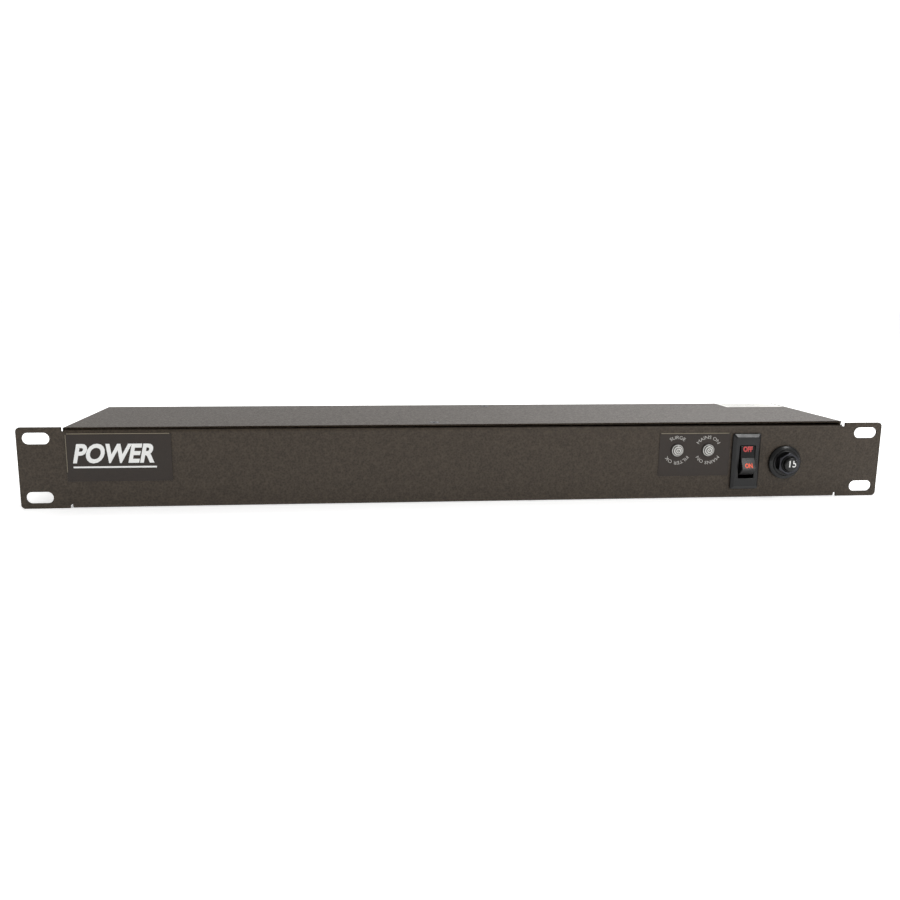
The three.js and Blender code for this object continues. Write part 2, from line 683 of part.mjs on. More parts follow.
// The switch is off: the rocker's top is pressed in and the arm leans away from the load.
function buildSwitch(strip) {
  const unit = new THREE.Group();
  unit.position.set(SWITCH_X, 0, SWITCH_Z);
  strip.add(unit);
  place(unit, 'switch_housing', switchHousing(), FINISH.blackPlastic);
  place(unit, 'switch_terminal_line', lineTerminal(), FINISH.brass);
  place(unit, 'switch_terminal_load', loadTerminal(), FINISH.brass);

  const rocker = new THREE.Group();
  rocker.position.y = ROCKER_PIVOT_DEPTH;
  rocker.rotation.x = degrees(-ROCKER_SWING / 2);
  unit.add(rocker);
  place(rocker, 'switch_rocker', switchRocker(), FINISH.blackPlastic);
  place(rocker, 'switch_plunger', switchPlunger(), FINISH.steel);

  const arm = new THREE.Group();
  arm.position.y = ARM_PIVOT_DEPTH;
  arm.rotation.x = degrees(ARM_SWING / 2);
  unit.add(arm);
  place(arm, 'switch_contact_arm', contactArm(), FINISH.copper);
}

// ---- Circuit breaker ----

const BREAKER_REAR = 30;
const BREAKER_WALL = 3;
const BREAKER_TAB_START = 12.3;
const BREAKER_TAB_END = 40;
const BREAKER_TAB_Z = 11;
const BREAKER_HALF_SIZE = [7.5, 16];
const BREAKER_FRONT = 1.5;
const BREAKER_CHAMBER = [-4.2, 4.2];
const BREAKER_CHAMBER_HEIGHTS = [-13.5, -4];
const BUSHING_RADIUS = 4.7;
const BUSHING_FRONT = -6.9;
const BUSHING_BORE = 4.15;
const BUTTON_CHAMBER_RADIUS = 6;
const BUTTON_CHAMBER = [2.7, 19];
const BUTTON = [[3.35, BUTTON_FRONT], [3.95, BUTTON_FRONT + 0.6], [3.95, 8], [5.5, 8], [5.5, 9.2]];
const BUTTON_STEM_RADIUS = 2.2;
const BUTTON_STEM_END = 12.5;
const FACE_RING = [[5, -SEAT], [9.75, -SEAT], [9.75, -1.1], [8.3, -2.3], [5, -2.3], [5, -SEAT]];
const FACE_RING_SIDES = 36;
const BREAKER_NUT = { acrossFlats: 11.5, hole: 4.85, depths: [-6.2, -2.4] };
const STUD_NUT = { acrossFlats: 8, hole: 2.5, depths: [TRAY_DEPTH + SEAT, TRAY_DEPTH + 3.3] };
const NUT_CHAMFER = 0.5;
const NUT_SIDES = 18;
const SPRING_TURNS = 5;
const SPRING_RADIUS = 3.6;
const SPRING_WIRE_RADIUS = 0.4;
const SPRING_DEPTHS = [9.7, 18.4];
const BIMETAL_WIDTH = [-2, 2];
const BIMETAL_DEPTHS = [6.5, 24.5];
const BIMETAL_HEIGHTS = [-9.8, -9.2];
const BIMETAL_THICKNESS = 0.6;
const BIMETAL_HOOK_TOP = -6.4;
const BIMETAL_FOOT_BOTTOM = -10.5;

// A nut: a hexagon with chamfered corners and a clear hole, between two depths.
function hexNut({ acrossFlats, hole, depths: [front, rear] }) {
  const corner = acrossFlats / Math.sqrt(3);
  const inner = acrossFlats / 2;
  const envelope = turned([
    [0, front],
    [inner, front],
    [corner, front + NUT_CHAMFER],
    [corner, rear - NUT_CHAMFER],
    [inner, rear],
    [0, rear],
  ], NUT_SIDES);
  const hexagon = rod(corner, [front, rear], 6);
  return cut(common(hexagon, envelope), rod(hole, [front - 1, rear + 1], NUT_SIDES));
}

function breakerBody() {
  const wall = TAB_CLEARANCE;
  const tabHole = (z, from) => centredBlock(
    0, z, TAB_HALF_WIDTH + wall, TAB_HALF_THICKNESS + wall, [from, BREAKER_REAR + 1],
  );
  const box = centredBlock(0, 0, ...BREAKER_HALF_SIZE, [BREAKER_FRONT, BREAKER_REAR]);
  const chamberDepths = [BREAKER_FRONT + BREAKER_WALL, BREAKER_REAR - BREAKER_WALL];
  return cut(
    join(box, rod(BUSHING_RADIUS, [BUSHING_FRONT, BREAKER_FRONT + 1])),
    rod(BUSHING_BORE, [BUSHING_FRONT - 1, BUTTON_CHAMBER[0] + 1]),
    rod(BUTTON_CHAMBER_RADIUS, BUTTON_CHAMBER),
    block(BREAKER_CHAMBER, chamberDepths, BREAKER_CHAMBER_HEIGHTS),
    tabHole(-BREAKER_TAB_Z, BREAKER_REAR - BREAKER_WALL - 1),
    tabHole(BREAKER_TAB_Z, BREAKER_TAB_START - TAB_CLEARANCE),
  );
}

// A round dress ring behind the nut, with a chamfered rim.
function breakerFaceRing() {
  return turned(FACE_RING, FACE_RING_SIDES);
}

function breakerButton() {
  const shoulder = BUTTON.at(-1)[1];
  return turned([
    [0, BUTTON_FRONT],
    ...BUTTON,
    [BUTTON_STEM_RADIUS, shoulder],
    [BUTTON_STEM_RADIUS, BUTTON_STEM_END],
    [0, BUTTON_STEM_END],
  ]);
}

class Helix extends THREE.Curve {
  getPoint(t) {
    const [start, end] = SPRING_DEPTHS;
    const angle = 2 * Math.PI * SPRING_TURNS * t;
    const [x, z] = [SPRING_RADIUS * Math.cos(angle), SPRING_RADIUS * Math.sin(angle)];
    return new THREE.Vector3(x, start + (end - start) * t, z);
  }
}

function breakerSpring() {
  const section = new THREE.Shape();
  section.absarc(0, 0, SPRING_WIRE_RADIUS, 0, 2 * Math.PI);
  return new THREE.ExtrudeGeometry(section, {
    steps: 10 * SPRING_TURNS,
    extrudePath: new Helix(),
    curveSegments: 3,
  });
}

// The bimetal strip stands on the line terminal and bends up towards the button's stem.
function breakerBimetal() {
  const [front, rear] = BIMETAL_DEPTHS;
  const [bottom, top] = BIMETAL_HEIGHTS;
  return join(
    block(BIMETAL_WIDTH, BIMETAL_DEPTHS, BIMETAL_HEIGHTS),
    block(BIMETAL_WIDTH, [front, front + BIMETAL_THICKNESS], [bottom, BIMETAL_HOOK_TOP]),
    block(BIMETAL_WIDTH, [rear - BIMETAL_THICKNESS, rear], [BIMETAL_FOOT_BOTTOM, top]),
  );
}

function buildBreaker(strip) {
  const unit = new THREE.Group();
  unit.position.set(BREAKER_X, 0, BREAKER_Z);
  strip.add(unit);
  place(unit, 'breaker_body', breakerBody(), FINISH.blackPlastic);
  place(unit, 'breaker_face_ring', breakerFaceRing(), FINISH.blackPlastic);
  place(unit, 'breaker_hex_nut', hexNut(BREAKER_NUT), FINISH.blackMetal);
  place(unit, 'breaker_button', breakerButton(), FINISH.blackPlastic);
  place(unit, 'breaker_spring', breakerSpring(), FINISH.steel);
  place(unit, 'breaker_bimetal', breakerBimetal(), FINISH.copper);
  for (const [name, z] of [['line', -BREAKER_TAB_Z], ['load', BREAKER_TAB_Z]]) {
    const depths = [BREAKER_TAB_START, BREAKER_TAB_END];
    const tab = centredBlock(0, z, TAB_HALF_WIDTH, TAB_HALF_THICKNESS, depths);
    place(unit, `breaker_terminal_${name}`, tab, FINISH.brass);
  }
}

// ---- Outlets and bus bars ----

const OUTLET_REAR = 85.9;
const OUTLET_INNER_END = 58;
const BUS_DEPTHS = [55.6, 56.4];
const BUS_LEFT = -196;
const BUS_RIGHT = 128;
const BUS_TAB_END = 61.5;
const BUS_GAP = 0.6;
const BUS_OVERLAP = 0.5;
const BUS_TAB_HALF_HEIGHT = 2;
const EARTH_TAB_HALF_HEIGHT = 1.5;
const LINE_BAR = [29.5, 33.5];
const NEUTRAL_BAR = [16.5, 20.5];
const GROUND_BAR = [6.5, 10];
const OUTLET_FLANGE = [35, 28, 2];
const OUTLET_BODY = [15.8, 12.2];
const LINE_SLOT = [1.1, 3.45];
const NEUTRAL_SLOT = [1.1, 4.2];
const EARTH_RADIUS = 2.5;
const EARTH_FLAT = -2.8;
const EARTH_ARCH = 0.3;
const CATCH_ROOT = 15.5;
const CATCH_TIP = 16.9;
const CATCH_LENGTH = 7;
const CATCH_WIDTH = 8;
const CATCH_GAP = 0.2;

function outlet() {
  const flange = roundedRectangle(0, 0, ...OUTLET_FLANGE);
  const body = centredBlock(0, 0, ...OUTLET_BODY, [OUTLET_INNER_END, TRAY_DEPTH + 1]);
  const through = [OUTLET_INNER_END - 1, OUTLET_REAR + 1];
  const bladeZ = BLADE_Z - OUTLET_Z;
  const earth = new THREE.Shape();
  earth.moveTo(-EARTH_RADIUS, EARTH_FLAT);
  earth.lineTo(EARTH_RADIUS, EARTH_FLAT);
  earth.absarc(0, EARTH_ARCH, EARTH_RADIUS, 0, Math.PI);
  const wallFace = CATCH_GAP - WALL_INSIDE;
  const catches = [-1, 1].map((side) => {
    const wedge = polygon([
      [CATCH_ROOT, wallFace],
      [CATCH_TIP, wallFace],
      [OUTLET_BODY[0], wallFace + CATCH_LENGTH],
      [CATCH_ROOT, wallFace + CATCH_LENGTH],
    ]);
    return extruded(wedge, CATCH_WIDTH, 1).scale(side, -1, 1).translate(0, 0, -CATCH_WIDTH / 2);
  });
  return cut(
    join(body, alongY(flange, [TRAY_DEPTH + SEAT, OUTLET_REAR], 1), ...catches),
    centredBlock(-BLADE_OFFSET, bladeZ, ...LINE_SLOT, through),
    centredBlock(BLADE_OFFSET, bladeZ, ...NEUTRAL_SLOT, through),
    alongY(earth, through, 3).translate(0, 0, bladeZ - EARTH_DROP),
  );
}

// A brass bar along the outlets, with a tab bent into each of them.
function busBar(barHeights, tabHeights, offset) {
  const [barLow, barHigh] = barHeights;
  const [tabLow, tabHigh] = tabHeights;
  const [front, rear] = BUS_DEPTHS;
  const neck = [Math.min(tabLow, barHigh - BUS_OVERLAP), Math.max(tabHigh, barLow + BUS_OVERLAP)];
  let bar = solid(block([BUS_LEFT, BUS_RIGHT], [front, rear], [barLow, barHigh]));
  for (const x of OUTLET_XS) {
    const width = [x + offset - TAB_HALF_THICKNESS, x + offset + TAB_HALF_THICKNESS];
    bar = join(
      bar,
      block(width, [front, OUTLET_INNER_END - BUS_GAP], neck),
      block(width, [front, BUS_TAB_END], [tabLow, tabHigh]),
    );
  }
  return bar;
}

function buildOutlets(strip) {
  OUTLET_XS.forEach((x, i) => {
    const socket = new THREE.Group();
    socket.position.set(x, 0, OUTLET_Z);
    strip.add(socket);
    place(socket, `outlet_${i + 1}`, outlet(), FINISH.blackPlastic);
  });
  const blades = [BLADE_Z - BUS_TAB_HALF_HEIGHT, BLADE_Z + BUS_TAB_HALF_HEIGHT];
  const earthZ = BLADE_Z - EARTH_DROP;
  const earthTabs = [earthZ - EARTH_TAB_HALF_HEIGHT, earthZ + EARTH_TAB_HALF_HEIGHT];
  place(strip, 'line_bus_bar', busBar(LINE_BAR, blades, -BLADE_OFFSET), FINISH.brass);
  place(strip, 'neutral_bus_bar', busBar(NEUTRAL_BAR, blades, BLADE_OFFSET), FINISH.brass);
  place(strip, 'ground_bus_bar', busBar(GROUND_BAR, earthTabs, 0), FINISH.brass);
}

// ---- Inlet and earth stud ----

const INLET_FACE = 87;
const INLET_INNER_END = 62;
const INLET_FLOOR = 67;
const PIN_TAIL_END = 52;
const PIN_TIP = 80.5;
const INLET_FLANGE = [50, 22.4, 4];
const INLET_BODY = [13.6, 9.6];
const INLET_WELL = [12.3, 8.3];
const INLET_WELL_SLANT = 4;
const PIN_HALF_SIZE = [1, 2];
const PIN_BEVEL = 1.5;
const PIN_TAIL_HALF_WIDTH = 0.4;
const PIN_SEAT = 0.5;
const STUD_RADIUS = 2.4;
const STUD_HEAD_RADIUS = 4;
const STUD_HEAD_DEPTH = 2.2;
const STUD_BEVEL = 0.6;
const STUD_SIDES = 20;
const INLET_PINS = { inlet_pin_line: [-7, -2], inlet_pin_neutral: [7, -2], inlet_pin_ground: [0, 2] };

function inletBody() {
  const flange = alongY(roundedRectangle(0, 0, ...INLET_FLANGE), [TRAY_DEPTH + SEAT, INLET_FACE], 2);
  const body = centredBlock(0, 0, ...INLET_BODY, [INLET_INNER_END, TRAY_DEPTH + 1]);
  const [width, height] = INLET_WELL;
  const slant = INLET_WELL_SLANT;
  const well = polygon([
    [-width, -height], [width, -height], [width, height - slant],
    [width - slant, height], [slant - width, height], [-width, height - slant],
  ]);
  const [pinWidth, pinHeight] = PIN_HALF_SIZE;
  const pinHoles = Object.values(INLET_PINS).map(([x, z]) => (
    centredBlock(x, z, pinWidth + 2 * SEAT, pinHeight + 2 * SEAT, [INLET_INNER_END - 1, INLET_FLOOR + 1])
  ));
  const screwHoles = [-1, 1].map((side) => (
    screwHole().translate(side * INLET_SCREW_OFFSET, INLET_FACE, 0)
  ));
  return cut(
    join(body, flange),
    alongY(well, [INLET_FLOOR, INLET_FACE + 1]),
    ...pinHoles,
    ...screwHoles,
  );
}

// A contact pin with a bevelled tip, and a thin tail that takes the wire.
function inletPin() {
  const [width, height] = PIN_HALF_SIZE;
  const root = INLET_INNER_END - PIN_SEAT;
  const blade = polygon([
    [root, -height],
    [PIN_TIP - PIN_BEVEL, -height],
    [PIN_TIP, -height / 2],
    [PIN_TIP, height / 2],
    [PIN_TIP - PIN_BEVEL, height],
    [root, height],
  ]);
  const tail = centredBlock(0, 0, PIN_TAIL_HALF_WIDTH, height, [PIN_TAIL_END, INLET_INNER_END]);
  return join(alongX(blade, [-width, width]), tail);
}

function buildInlet(strip) {
  const unit = new THREE.Group();
  unit.position.set(INLET_X, 0, INLET_Z);
  strip.add(unit);
  place(unit, 'inlet_body', inletBody(), FINISH.blackPlastic);
  for (const [name, [x, z]] of Object.entries(INLET_PINS)) {
    const pin = new THREE.Group();
    pin.position.set(x, 0, z);
    unit.add(pin);
    place(pin, name, inletPin(), FINISH.steel);
  }
  for (const [name, side] of [['inlet_screw_left', -1], ['inlet_screw_right', 1]]) {
    const screw = new THREE.Group();
    screw.position.set(side * INLET_SCREW_OFFSET, INLET_FACE, 0);
    screw.rotation.z = Math.PI;
    unit.add(screw);
    place(screw, name, panHeadScrew(INLET_SCREW_LENGTH), FINISH.blackMetal);
  }
}

function buildEarthStud(strip) {
  const unit = new THREE.Group();
  unit.position.set(STUD_X, 0, STUD_Z);
  strip.add(unit);
  const headFront = WALL_INSIDE - STUD_HEAD_DEPTH;
  const headRear = WALL_INSIDE - SEAT;
  const stud = turned([
    [0, headFront],
    [STUD_HEAD_RADIUS, headFront],
    [STUD_HEAD_RADIUS, headRear],
    [STUD_RADIUS, headRear],
    [STUD_RADIUS, STUD_END - STUD_BEVEL],
    [STUD_RADIUS - STUD_BEVEL, STUD_END],
    [0, STUD_END],
  ], STUD_SIDES);
  place(unit, 'ground_stud', stud, FINISH.steel);
  place(unit, 'ground_nut', hexNut(STUD_NUT), FINISH.steel);
}

// ---- Surge board ----

const BOARD = { left: 60, right: 110, front: 20, rear: 48, bottom: 8, top: 9.6 };
const VARISTORS = [[75, 34], [95, 34]];
const VARISTOR_LIFT = 8.9;
const VARISTOR_DISC = [[0, -2.2], [6.4, -2.2], [7, -1.6], [7, 1.6], [6.4, 2.2], [0, 2.2]];
const VARISTOR_SIDES = 20;
const VARISTOR_LEAD_OFFSET = 3;
const VARISTOR_LEAD_HALF_WIDTH = 0.4;
const VARISTOR_LEAD_HEIGHTS = [-8.8, -5];
const GUIDE_HALF_WIDTH = 3;
const GUIDE_RISE = 2;
const GUIDE_CLEARANCE = 0.15;

function boardGuide(side) {
  const edge = side < 0 ? BOARD.left : BOARD.right;
  const span = [edge - GUIDE_HALF_WIDTH, edge + GUIDE_HALF_WIDTH];
  const body = block(span, [BOARD.front, BOARD.rear], [SHEET + SEAT, BOARD.top + GUIDE_RISE]);
  const slot = sorted(edge - side * (GUIDE_HALF_WIDTH + 1), edge + side * 2 * GUIDE_CLEARANCE);
  const slotHeights = [BOARD.bottom - GUIDE_CLEARANCE, BOARD.top + GUIDE_CLEARANCE];
  return cut(body, block(slot, [BOARD.front - 1, BOARD.rear + 1], slotHeights));
}

// A round varistor standing on its two leads.
function varistor() {
  const half = VARISTOR_LEAD_HALF_WIDTH;
  const leads = [-VARISTOR_LEAD_OFFSET, VARISTOR_LEAD_OFFSET].map((x) => (
    block([x - half, x + half], [-half, half], VARISTOR_LEAD_HEIGHTS)
  ));
  return join(turned(VARISTOR_DISC, VARISTOR_SIDES), ...leads);
}

function buildSurgeBoard(strip) {
  const board = block([BOARD.left, BOARD.right], [BOARD.front, BOARD.rear], [BOARD.bottom, BOARD.top]);
  place(strip, 'surge_board', board, FINISH.board);
  place(strip, 'board_guide_left', boardGuide(-1), FINISH.whitePlastic);
  place(strip, 'board_guide_right', boardGuide(1), FINISH.whitePlastic);
  VARISTORS.forEach(([x, y], i) => {
    const disc = new THREE.Group();
    disc.position.set(x, y, BOARD.top + VARISTOR_LIFT);
    strip.add(disc);
    place(disc, `varistor_${i + 1}`, varistor(), FINISH.varistor);
  });
}

// ---- Wiring ----

const WIRE_GAP = 0.4;

function wire(points) {
  const section = new THREE.Shape();
  section.absarc(0, 0, WIRE_RADIUS, 0, 2 * Math.PI);
  const route = new THREE.CatmullRomCurve3(points.map((point) => new THREE.Vector3(...point)));
  return new THREE.ExtrudeGeometry(section, { steps: WIRE_STEPS, extrudePath: route, curveSegments: 4 });
}

function buildWiring(strip) {
  const pinStart = PIN_TAIL_END - WIRE_GAP;
  const breakerStart = BREAKER_TAB_END + WIRE_GAP;
  const switchStart = SWITCH_TAB_END + WIRE_GAP;
  const pinZ = INLET_Z - 2;
  const earthZ = INLET_Z + 2;
  const busX = BUS_RIGHT + WIRE_GAP;
  const busY = (BUS_DEPTHS[0] + BUS_DEPTHS[1]) / 2;
  const studY = WALL_INSIDE - STUD_HEAD_DEPTH - WIRE_GAP;
  const breakerLine = BREAKER_Z - BREAKER_TAB_Z;
  const breakerLoad = BREAKER_Z + BREAKER_TAB_Z;
  const switchLoad = SWITCH_Z + SWITCH_LOAD_Z;
  const routes = {
    wire_inlet_to_breaker: [FINISH.blackWire, [
      [INLET_X - 7, pinStart, pinZ], [INLET_X - 7, 48.5, pinZ - 0.4], [INLET_X - 4, 46, 15],
      [BREAKER_X - 0.5, 43.5, breakerLine + 1], [BREAKER_X, breakerStart, breakerLine],
    ]],
    wire_breaker_to_switch: [FINISH.blackWire, [
      [BREAKER_X, breakerStart, breakerLoad], [BREAKER_X - 1, 44, breakerLoad], [172, 47, 30],
      [162, 44, 25], [SWITCH_X + 0.6, 38, SWITCH_Z + 0.4], [SWITCH_X, switchStart, SWITCH_Z],
    ]],
    wire_switch_to_bus: [FINISH.blackWire, [
      [SWITCH_X, switchStart, switchLoad], [SWITCH_X - 0.6, 38, switchLoad + 0.3], [150, 46, 31.2],
      [138, 53, 31.5], [busX, busY, 31.5],
    ]],
    wire_inlet_to_neutral: [FINISH.whiteWire, [
      [INLET_X + 7, pinStart, pinZ], [INLET_X + 7, 47.5, pinZ + 0.7], [180, 44.5, 23],
      [168, 46.5, 21], [150, 52, 19], [138, 55.5, 18.5], [busX, busY, 18.5],
    ]],
    wire_inlet_to_stud: [FINISH.greenWire, [
      [INLET_X, pinStart, earthZ], [INLET_X, 50, earthZ + 0.3], [INLET_X - 4, 48.6, earthZ + 2],
      [165, 54.5, 27], [152, 62, 25], [STUD_X + 1, 74, STUD_Z + 2.2], [STUD_X, studY, STUD_Z + 2.2],
    ]],
    wire_stud_to_ground_bus: [FINISH.greenWire, [
      [STUD_X, studY, STUD_Z - 2.2], [STUD_X - 0.5, 74, STUD_Z - 3], [140, 63, 12],
      [134.5, 57, 8.6], [busX, busY, 8.25],
    ]],
  };
  for (const [name, [finish, points]] of Object.entries(routes)) place(strip, name, wire(points), finish);
}

// ---- Assembly ----

const strip = new THREE.Group();
strip.position.y = -DEPTH_MIDDLE;
buildCase(strip);
buildLabels(strip);
buildIndicators(strip);
buildSwitch(strip);
buildBreaker(strip);
buildOutlets(strip);
buildInlet(strip);
buildEarthStud(strip);
buildSurgeBoard(strip);
buildWiring(strip);

const group = new THREE.Group();
group.add(strip);
export default group;
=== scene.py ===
import json
import math

import bmesh
import bpy
from mathutils import Matrix, Vector


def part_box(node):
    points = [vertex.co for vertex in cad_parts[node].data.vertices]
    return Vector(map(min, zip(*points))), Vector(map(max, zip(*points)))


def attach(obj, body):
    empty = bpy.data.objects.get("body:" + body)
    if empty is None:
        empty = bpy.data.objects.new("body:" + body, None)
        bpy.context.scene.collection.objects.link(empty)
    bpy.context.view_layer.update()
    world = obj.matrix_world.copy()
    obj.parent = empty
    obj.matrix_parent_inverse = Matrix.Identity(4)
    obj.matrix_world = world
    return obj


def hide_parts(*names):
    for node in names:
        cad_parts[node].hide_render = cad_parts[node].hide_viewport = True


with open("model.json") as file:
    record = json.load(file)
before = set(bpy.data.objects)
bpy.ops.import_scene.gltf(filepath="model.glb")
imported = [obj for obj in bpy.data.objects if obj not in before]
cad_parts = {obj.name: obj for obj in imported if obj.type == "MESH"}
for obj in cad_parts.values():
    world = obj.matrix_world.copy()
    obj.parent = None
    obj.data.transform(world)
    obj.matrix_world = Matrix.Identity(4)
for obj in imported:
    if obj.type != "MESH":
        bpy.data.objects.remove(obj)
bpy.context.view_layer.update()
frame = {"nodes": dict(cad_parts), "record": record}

# Rack power strip. Shapes are made in millimetres: X along the panel, depth (Y) from the
# panel's front face into the rack, and Z from the underside. placed() brings them to metres.

MM = 0.001
PANEL_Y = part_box("chassis_tray")[0].y
TO_METRES = Matrix.Translation((0, PANEL_Y, 0)) @ Matrix.Scale(MM, 4)
TO_MILLIMETRES = TO_METRES.inverted()

RECORD = frame["record"]
SLOT_OF = {part["node"]: part["material_slot"] for part in RECORD["subparts"]}
BODY_OF = {
    node: body for body, nodes in RECORD["behaviour"]["bodies"].items() for node in nodes
}
JOINTS = {joint["name"]: joint for joint in RECORD["behaviour"]["joints"]}

# Sizes of the folded sheets and of what holds them, in millimetres.
SHEET = 1.2
SHEET_EDGE = 0.18
TRAY_TOP = 42.2
TRAY_BEND = 1.6
TRAY_FLANGE = 14
TRAY_HALF = 215.3
BEND_HALF = 217
FLANGE_HALF = 214.3
FLOOR_BEND_HALF = 215
EAR_ROOT = 210.6
RELIEF = (1.4, 2.2)
LIP_HEIGHT = 12
LIP_DEPTHS = (2.6, 80)
SLOT_X = 231.5
SLOT_HALF = (6.95, 3.1)
SLOT_RISE = 15.875
COVER_HALF = 217.6
COVER_SHIFT = -0.6
COVER_RISE = 1.2
COVER_BOTTOM = 1.6
COVER_BEND = 1.3
SIDE_SCREW = (45, 7)
INLET_SCREW_X = 20
SCREW_HOLE = 1.75
SHANK = 1.45
COUNTERSINK = 1.35
COVER_SCREW_LENGTH = 7
INLET_SCREW_LENGTH = 9

# Holes through the panel and the rear wall: half width and half height, or a radius.
SWITCH_HOLE = (6.9, 14.2)
BREAKER_HOLE = 5.1
LENS_HOLE = 3.2
STUD_HOLE = 2.6
INLET_HOLE = (13.8, 9.8)
OUTLET_HOLE = (16, 12.45)

# How far a cutting shape runs past the face that it cuts.
PAST = 1

COVER_SCREWS = ("cover_screw_front", "cover_screw_rear")
OUTLETS = [f"outlet_{number}" for number in range(1, 9)]


def box(node):
    low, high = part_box(node)
    return TO_MILLIMETRES @ low, TO_MILLIMETRES @ high


def middle(node):
    low, high = box(node)
    return (low + high) / 2


# ---- Outlines: lists of (a, b) points ----


def circle(radius, centre=(0, 0), steps=48):
    turns = [math.tau * i / steps for i in range(steps)]
    return [(centre[0] + radius * math.cos(t), centre[1] + radius * math.sin(t)) for t in turns]


def rounded(points, radius, steps=5, closed=True):
    """The line through the points, with an arc at each corner."""
    corners = [Vector(point) for point in points]
    count = len(corners)
    nearly_straight = 0.49 * math.pi
    result = []
    for i, corner in enumerate(corners):
        before = corners[i - 1] - corner
        after = corners[(i + 1) % count] - corner
        at_end = not closed and i in (0, count - 1)
        half = math.pi / 2 if at_end else before.angle(after) / 2
        if radius <= 0 or half > nearly_straight:
            result.append(corner)
            continue
        before.normalize()
        after.normalize()
        reach = radius / math.tan(half)
        centre = corner + (before + after).normalized() * (radius / math.sin(half))
        start = (corner + before * reach - centre).normalized()
        end = (corner + after * reach - centre).normalized()
        result += [centre + start.slerp(end, k / steps) * radius for k in range(steps + 1)]
    return result


def rectangle(x, z, half_width, half_height, corner=0.0, steps=5):
    points = [
        (x - half_width, z - half_height), (x + half_width, z - half_height),
        (x + half_width, z + half_height), (x - half_width, z + half_height),
    ]
    return rounded(points, corner, steps)


def fold(path, thickness, bend, steps=7):
    """The section of a folded sheet that lies to the left of the path."""
    points = [Vector(point) for point in path]
    ways = [(b - a).normalized() for a, b in zip(points, points[1:])]
    lefts = [Vector((-way.y, way.x)) * thickness for way in ways]
    inner = []
    for i, point in enumerate(points):
        if i in (0, len(points) - 1):
            inner.append(point + lefts[0 if i == 0 else -1])
        else:
            inner.append(point + lefts[i - 1] + lefts[i])
    outer_line = rounded(points, bend, steps, closed=False)
    inner_line = rounded(inner, bend - thickness, steps, closed=False)
    return outer_line + inner_line[::-1]


# ---- Shapes: closed bmesh solids ----

AXES = {
    "X": lambda t, a, b: (t, a, b),
    "Y": lambda t, a, b: (a, t, b),
    "Z": lambda t, a, b: (a, b, t),
}


def loft(loops):
    """A closed solid through loops of points."""
    shape = bmesh.new()
    rows = [[shape.verts.new(point) for point in loop] for loop in loops]
    for low, high in zip(rows, rows[1:]):
        for i in range(len(low)):
            j = (i + 1) % len(low)
            shape.faces.new((low[i], low[j], high[j], high[i]))
    shape.faces.new(rows[0])
    shape.faces.new(rows[-1])
    bmesh.ops.recalc_face_normals(shape, faces=shape.faces)
    return shape


def prism(outline, span, axis="Y"):
    return loft([[AXES[axis](t, *point) for point in outline] for t in span])


def block(x, y, z):
    return prism([(x[0], z[0]), (x[1], z[0]), (x[1], z[1]), (x[0], z[1])], y)


def turned(outline, centre=(0, 0), steps=64):
    """A solid turned about the depth axis, from (radius, depth) points."""
    shape = bmesh.new()
    rows = []
    for radius, depth in outline:
        count = steps if radius > 0 else 1
        ring = circle(radius, centre, count)
        rows.append([shape.verts.new((x, depth, z)) for x, z in ring])
    following = rows[1:] + (rows[:1] if outline[0][0] > 0 else [])
    for low, high in zip(rows, following):
        for i in range(steps):
            j = (i + 1) % steps
            ring = (low[i % len(low)], low[j % len(low)], high[j % len(high)], high[i % len(high)])
            corners = list(dict.fromkeys(ring))
            if len(corners) > 2:
                shape.faces.new(corners)
    bmesh.ops.recalc_face_normals(shape, faces=shape.faces)
    return shape


def moved(shape, matrix):
    shape.transform(matrix)
    return shape


def along(x, y, z):
    return Matrix.Translation((x, y, z))


def joined(*shapes):
    """Several solids in one mesh."""
    whole = bmesh.new()
    for shape in shapes:
        mesh = bpy.data.meshes.new("part")
        shape.to_mesh(mesh)
        whole.from_mesh(mesh)
        bpy.data.meshes.remove(mesh)
    return whole


def temporary(shape):
    mesh = bpy.data.meshes.new("temporary")
    shape.to_mesh(mesh)
    thing = bpy.data.objects.new("temporary", mesh)
    bpy.context.scene.collection.objects.link(thing)
    return thing


def discard(thing):
    data = thing.data
    bpy.data.objects.remove(thing)
    if isinstance(data, bpy.types.Mesh):
        bpy.data.meshes.remove(data)
    else:
        bpy.data.curves.remove(data)


def evaluated(thing):
    graph = bpy.context.evaluated_depsgraph_get()
    result = bmesh.new()
    result.from_mesh(thing.evaluated_get(graph).to_mesh())
    return result


def modified(shape, kind, **settings):
    thing = temporary(shape)
    modifier = thing.modifiers.new(kind, kind)
    for name, value in settings.items():
        setattr(modifier, name, value)
    result = evaluated(thing)
    discard(thing)
    return result


def cleaned(shape, distance=0.001, angle=0.4):
    bmesh.ops.remove_doubles(shape, verts=shape.verts, dist=distance)
    bmesh.ops.dissolve_degenerate(shape, edges=shape.edges, dist=distance)
    bmesh.ops.dissolve_limit(
        shape, angle_limit=math.radians(angle), verts=shape.verts, edges=shape.edges
    )
    return shape


def combined(shape, tools, operation="DIFFERENCE"):
    for tool in tools:
        other = temporary(tool)
        shape = modified(shape, "BOOLEAN", operation=operation, solver="MANIFOLD", object=other)
        discard(other)
    return cleaned(shape)


def cut(shape, *tools):
    return combined(shape, tools)


def fused(shape, *tools):
    return combined(shape, tools, "UNION")


def softened(shape, width, segments=2, angle=32):
    """The solid with its edges rounded."""
    return modified(
        shape, "BEVEL", width=width, segments=segments, limit_method="ANGLE",
        angle_limit=math.radians(angle), use_clamp_overlap=False, miter_outer="MITER_ARC",
    )


def cad_shape(node):
    shape = bmesh.new()
    shape.from_mesh(frame["nodes"][node].data)
    return cleaned(moved(shape, TO_MILLIMETRES))


# ---- Lettering, in ink of slight thickness ----

INK_DEPTH = 0.03
INK_FRONT = 0.012


